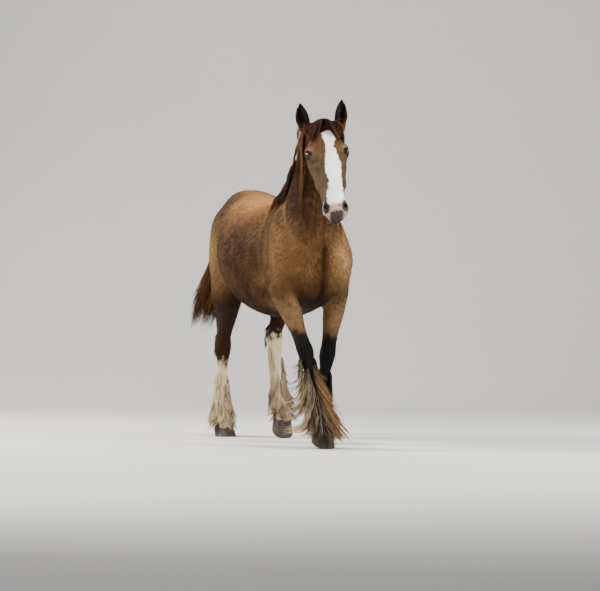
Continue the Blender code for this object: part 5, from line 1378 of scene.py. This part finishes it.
def feather_colours(name, out, n):
    """Colours of the roots and tips of the feather, by leg and by the side it grows on."""
    lean = out @ np.array((0.94, -0.342, 0))
    if name == "fore_right":
        root = tone(n, (BLACK, (0.020, 0.012, 0.008), (0.20, 0.17, 0.15)), (7, 3, 1))
        faded = tone(n, ((0.12, 0.085, 0.05), (0.03, 0.02, 0.013)), (3, 2))
        root = blend(root, faded, rises(-lean, 0.35, 0.9))
        left = tone(n, (BEIGE, (0.62, 0.49, 0.30), (0.10, 0.05, 0.022)), (4, 5, 1))
        right = tone(n, (RUST, (0.46, 0.28, 0.11), (0.030, 0.013, 0.007), (0.50, 0.38, 0.22)), (3, 5, 2, 2))
        middle = tone(n, ((0.050, 0.022, 0.010), (0.014, 0.008, 0.006), (0.32, 0.27, 0.22),
                          (0.12, 0.045, 0.015)), (4, 5, 2, 2))
        tip = blend(middle, left, rises(-lean, 0.20, 0.65))
        return root, blend(tip, right, rises(lean, 0.25, 0.75))
    if name == "fore_left":
        return (tone(n, (BLACK, (0.014, 0.009, 0.006)), (3, 2)),
                tone(n, ((0.009, 0.006, 0.005), (0.035, 0.015, 0.006), (0.12, 0.065, 0.028)), (6, 4, 1)))
    if name == "hind_right":
        return (tone(n, ((0.62, 0.55, 0.42), CREAM, (0.25, 0.16, 0.08)), (4, 5, 2)),
                tone(n, (CREAM, (0.42, 0.29, 0.13), (0.70, 0.62, 0.48), (0.14, 0.07, 0.028)), (5, 4, 3, 2)))
    return (tone(n, ((0.50, 0.44, 0.34), (0.30, 0.21, 0.11), (0.10, 0.06, 0.03)), (4, 4, 2)),
            tone(n, ((0.34, 0.24, 0.12), (0.20, 0.13, 0.06), (0.05, 0.027, 0.013)), (4, 4, 3)))


# Fringe behind each hock. Short dark hair that hangs from the back of the gaskin and the point of
# the hock, in locks as long as a finger.
def hock_fringe(joints, count):
    """Guides of the fringe's locks, which stand off the hock and then hang straight."""
    gaskin, hock = np.array(joints[0]), np.array(joints[1])
    guides, facings = [], []
    for k in range(count):
        share = chance.uniform(0.70, 1.10)
        bearing = chance.uniform(-0.6, 0.6)
        out = np.array((math.sin(bearing), math.cos(bearing), 0.0))
        root = gaskin + (hock - gaskin) * share + out * 0.050 + (0, 0.010, 0.012)
        fall = chance.uniform(0.06, 0.12)
        guides.append([root - out * 0.012, root + out * 0.010 - (0, 0, fall * 0.25),
                       root + out * 0.020 - (0, 0, fall * 0.6), root + out * 0.018 - (0, 0, fall)])
        facings.append([out] * 4)
    return guides, facings


for name, shade in (("hind_right", (0.030, 0.014, 0.006)), ("hind_left", (0.010, 0.007, 0.005))):
    guides, facings = hock_fringe(LEGS[name][0], 16)
    paths, facing = lock_of(guides, facings, 16, 0.012, 0.006, 0.5, curl=0.004)
    root = tone(len(paths), (shade, (0.008, 0.005, 0.004)), (2, 1))
    made = long_hair(name + "_fringe", paths, facing, 0.0016, 0.0008, root, root * 1.4, long_material)
    move_in(made, slot="black_feather")

feather_material = coat_material("feather hair", 0.10, 0.62, 0.06, 0.0)
each = 38
for name, count, slot in (("fore_right", 170, "black_feather"), ("fore_left", 84, "black_feather"),
                          ("hind_right", 84, "cream_feather"), ("hind_left", 78, "cream_feather")):
    joints, hoof = LEGS[name]
    guides, facings = feather_guides(joints, hoof, FEATHER[name], FLARE[name], count)
    paths, facing = lock_of(guides, facings, each, 0.024, 0.009, 0.62, curl=0.009,
                            short=0.74 if "hind" in name else 0.50)
    root, tip = feather_colours(name, np.repeat(np.array(facings)[:, 0], each, 0), len(paths))
    own = coat_colour(paths[:, 1])
    above = rises(paths[:, 0, 2], *((0.40, 0.50) if name == "fore_right" else (0.34, 0.46)))
    root, tip = blend(root, own, 0.55 + 0.45 * above), blend(tip, own * 1.3, 0.85 * above)
    made = long_hair(name + "_feather", paths, facing, 0.0015, 0.0008, root, tip, feather_material)
    low = points_of(made.data)
    low[:, 2] = np.maximum(low[:, 2], 0.002)
    put_points(made.data, low)
    move_in(made, slot=slot)

# Whiskers, lashes and ear hair. Stiff single hairs on the chin, lips and muzzle, lashes along the
# upper lid, and soft hair that grows inwards from the rims of the ears.
def single_hairs(places, ways, bend, length):
    """Straight hairs from their places along their ways, bent over by `bend` towards the tip."""
    s = np.linspace(0, 1, 5)[None, :, None]
    return places[:, None] + ways[:, None] * length[:, None, None] * s + bend * length[:, None, None] * s**2


head_turn = np.array(HEAD_PLACE.to_3x3().normalized())
local = in_head(points)
muzzle = head_share(points) * rises(-local[:, 1], 0.46, 0.52) * rises(-local[:, 2], 0.07, 0.11)
p, n = skin_roots(muzzle, 56)
ways = unit(n + chance.normal(0, 0.25, n.shape) + head_turn @ np.array((0, -0.3, -0.5)))
paths = single_hairs(p - 0.001 * n, ways, np.array((0, -0.05, -0.22)), chance.uniform(0.020, 0.048, len(p)))
outs = np.cross(ways, chance.normal(0, 1, ways.shape))
shade = tone(len(p), ((0.02, 0.016, 0.014), (0.22, 0.19, 0.17)), (3, 2))
move_in(strands("whiskers", paths, outs, 0.00035, 0.00035, shade, shade, long_material), slot="black_feather")
for side, word in ((1, "left"), (-1, "right")):
    rim = lid_rim()[3:29]
    rim = np.repeat(rim, 4, 0) + chance.normal(0, 0.0006, (len(rim) * 4, 3))
    turn = np.array(eye_frame(side))
    ways = unit((unit(rim) * 0.8 + (0, 0.55, 0.25)) @ turn[:3, :3].T)
    length = chance.uniform(0.010, 0.019, len(rim))
    paths = single_hairs(moved(rim, turn), ways, np.array((0, 0, -0.35)), length)
    shade = tone(len(rim), ((0.02, 0.014, 0.010),), (1,))
    outs = np.cross(ways, chance.normal(0, 1, ways.shape))
    lashes = strands("lashes_" + word, paths, outs, 0.0004, 0.0004, shade, shade, long_material)
    move_in(lashes, slot="black_feather")
    # Hair in the mouth of the ear, from both rims
    hairs, ear_rows = 620, np.array(EAR_ROWS)
    rise = chance.uniform(0.020, 0.125, hairs)
    half, depth = (np.interp(rise, ear_rows[:, 0], ear_rows[:, k]) for k in (1, 2))
    rim_side = np.where(chance.random(hairs) < 0.5, 1.0, -1.0)
    root = np.stack([-side * 4.5 * rise**3 + rim_side * (half - 0.004), -4 * rise**3 - depth * 0.10, rise], 1)
    inwards = np.stack([-rim_side * half * 0.55, -depth * 0.35 + 0 * rise, 0.022 + 0 * rise], 1)
    end = root + inwards * chance.uniform(0.5, 1.1, (hairs, 1))
    mid = (root + end) / 2 + (0, -0.003, 0.002)
    turn = np.array(ear_place(side))
    paths = moved(np.stack([root, mid, end], 1), turn)
    outs = np.tile(turn[:3, :3] @ np.array((0, -1.0, 0.2)), (hairs, 1))
    shade = tone(hairs, ((0.008, 0.005, 0.004), (0.016, 0.010, 0.007), (0.060, 0.036, 0.022)), (6, 3, 1))
    fringe = strands("ear_fringe_" + word, paths, outs, 0.0009, 0.0005, shade, shade * 1.2, long_material)
    move_in(fringe, slot="ear")

# The hide itself is moved last, because all the hair is grown from it where it was made
move_in(skin, "torso", "neck", "head", "ear_left", "ear_right",
        *(f"{leg}_{end}" for leg in LEGS for end in ("upper", "lower")), slot="bay_coat")

# Floor. One pale sheet of studio paper that runs under the horse and curves up behind it, square to
# the camera's line of sight.
look = np.array((math.sin(math.radians(20)), math.cos(math.radians(20))))
bow = np.linspace(0, math.pi / 2, 24)
run = np.concatenate([[-24.0], 4.0 + 3.0 * np.sin(bow), [7.0]])
climb = np.concatenate([[0.0], 3.0 - 3.0 * np.cos(bow), [12.0]])
sideways = np.linspace(-16, 16, 9)
across = np.array((look[1], -look[0]))
flat = run[:, None, None] * look + sideways[None, :, None] * across
sheet = np.concatenate([flat, climb[:, None, None] + 0 * sideways[None, :, None]], 2)
k, j = np.meshgrid(np.arange(len(run) - 1), np.arange(8), indexing="ij")
quads = np.stack([k * 9 + j, k * 9 + j + 1, (k + 1) * 9 + j + 1, (k + 1) * 9 + j], 2).reshape(-1, 4)
floor = new_object("floor", sheet.reshape(-1, 3), quads.tolist())
paper, tree, shader = new_material("pale floor", 0.85, 0.5)
where = add_node(tree, "TexCoord")
mottle = add_node(tree, "TexNoise", (("Vector", where.outputs["Object"]), ("Scale", 0.7), ("Detail", 4.0)))
tint = add_node(tree, "MixRGB", ((0, mottle.outputs["Fac"]), (1, (0.52, 0.52, 0.50, 1)),
                                 (2, (0.57, 0.57, 0.56, 1))))
tree.links.new(tint.outputs[0], shader.inputs["Base Color"])
floor.data.materials.append(paper)
floor.data.shade_smooth()
floor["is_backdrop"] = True

# Light. As the camera sees it: a soft key from the upper right, a weaker one from the upper left,
# one from behind on the left that draws the edge of the back and croup, and a faint one above.
def add_light(name, place, aim, size, power, colour):
    """A round soft lamp at its place, turned to its aim."""
    lamp = bpy.data.lights.new(name, "AREA")
    lamp.shape, lamp.size, lamp.energy, lamp.color = "DISK", size, power, colour
    made = linked(name, lamp)
    made.location = place
    made.rotation_euler = (Vector(aim) - Vector(place)).to_track_quat("-Z", "Y").to_euler()


add_light("key", (3.2, -4.8, 3.6), (0, -0.2, 1.1), 2.0, 640, (1.0, 0.97, 0.93))
add_light("fill", (-4.2, -4.4, 3.6), (0, -0.2, 1.0), 2.2, 330, (1.0, 0.98, 0.95))
add_light("edge", (-3.6, 2.6, 3.6), (0, 0.2, 1.1), 1.6, 700, (1.0, 0.95, 0.88))
add_light("top", (0.5, 0.4, 4.6), (0, 0, 1.0), 3.0, 150, (1.0, 1.0, 1.0))
world = bpy.data.worlds.new("studio")
bpy.context.scene.world = world
world.use_nodes = True
world.node_tree.nodes["Background"].inputs["Color"].default_value = (0.88, 0.88, 0.90, 1)
world.node_tree.nodes["Background"].inputs["Strength"].default_value = 0.42

# Camera. A long lens far in front of the horse, 20 degrees to its right, at the height of its
# chest, where the places of hooves, withers, croup and poll put the photographer.
camera_data = bpy.data.cameras.new("camera")
camera = linked("camera", camera_data)
turn, away, height = math.radians(20), 20.8, 1.03
camera.location = Vector((-away * math.sin(turn), -away * math.cos(turn), height)) + Vector(SHIFT)
camera.rotation_euler = (math.radians(90 - 0.62), 0, -math.radians(20 + 0.26))
camera_data.sensor_width, camera_data.lens, camera_data.clip_end = 36.0, 226.3, 200.0
bpy.context.scene.camera = camera

low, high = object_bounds()
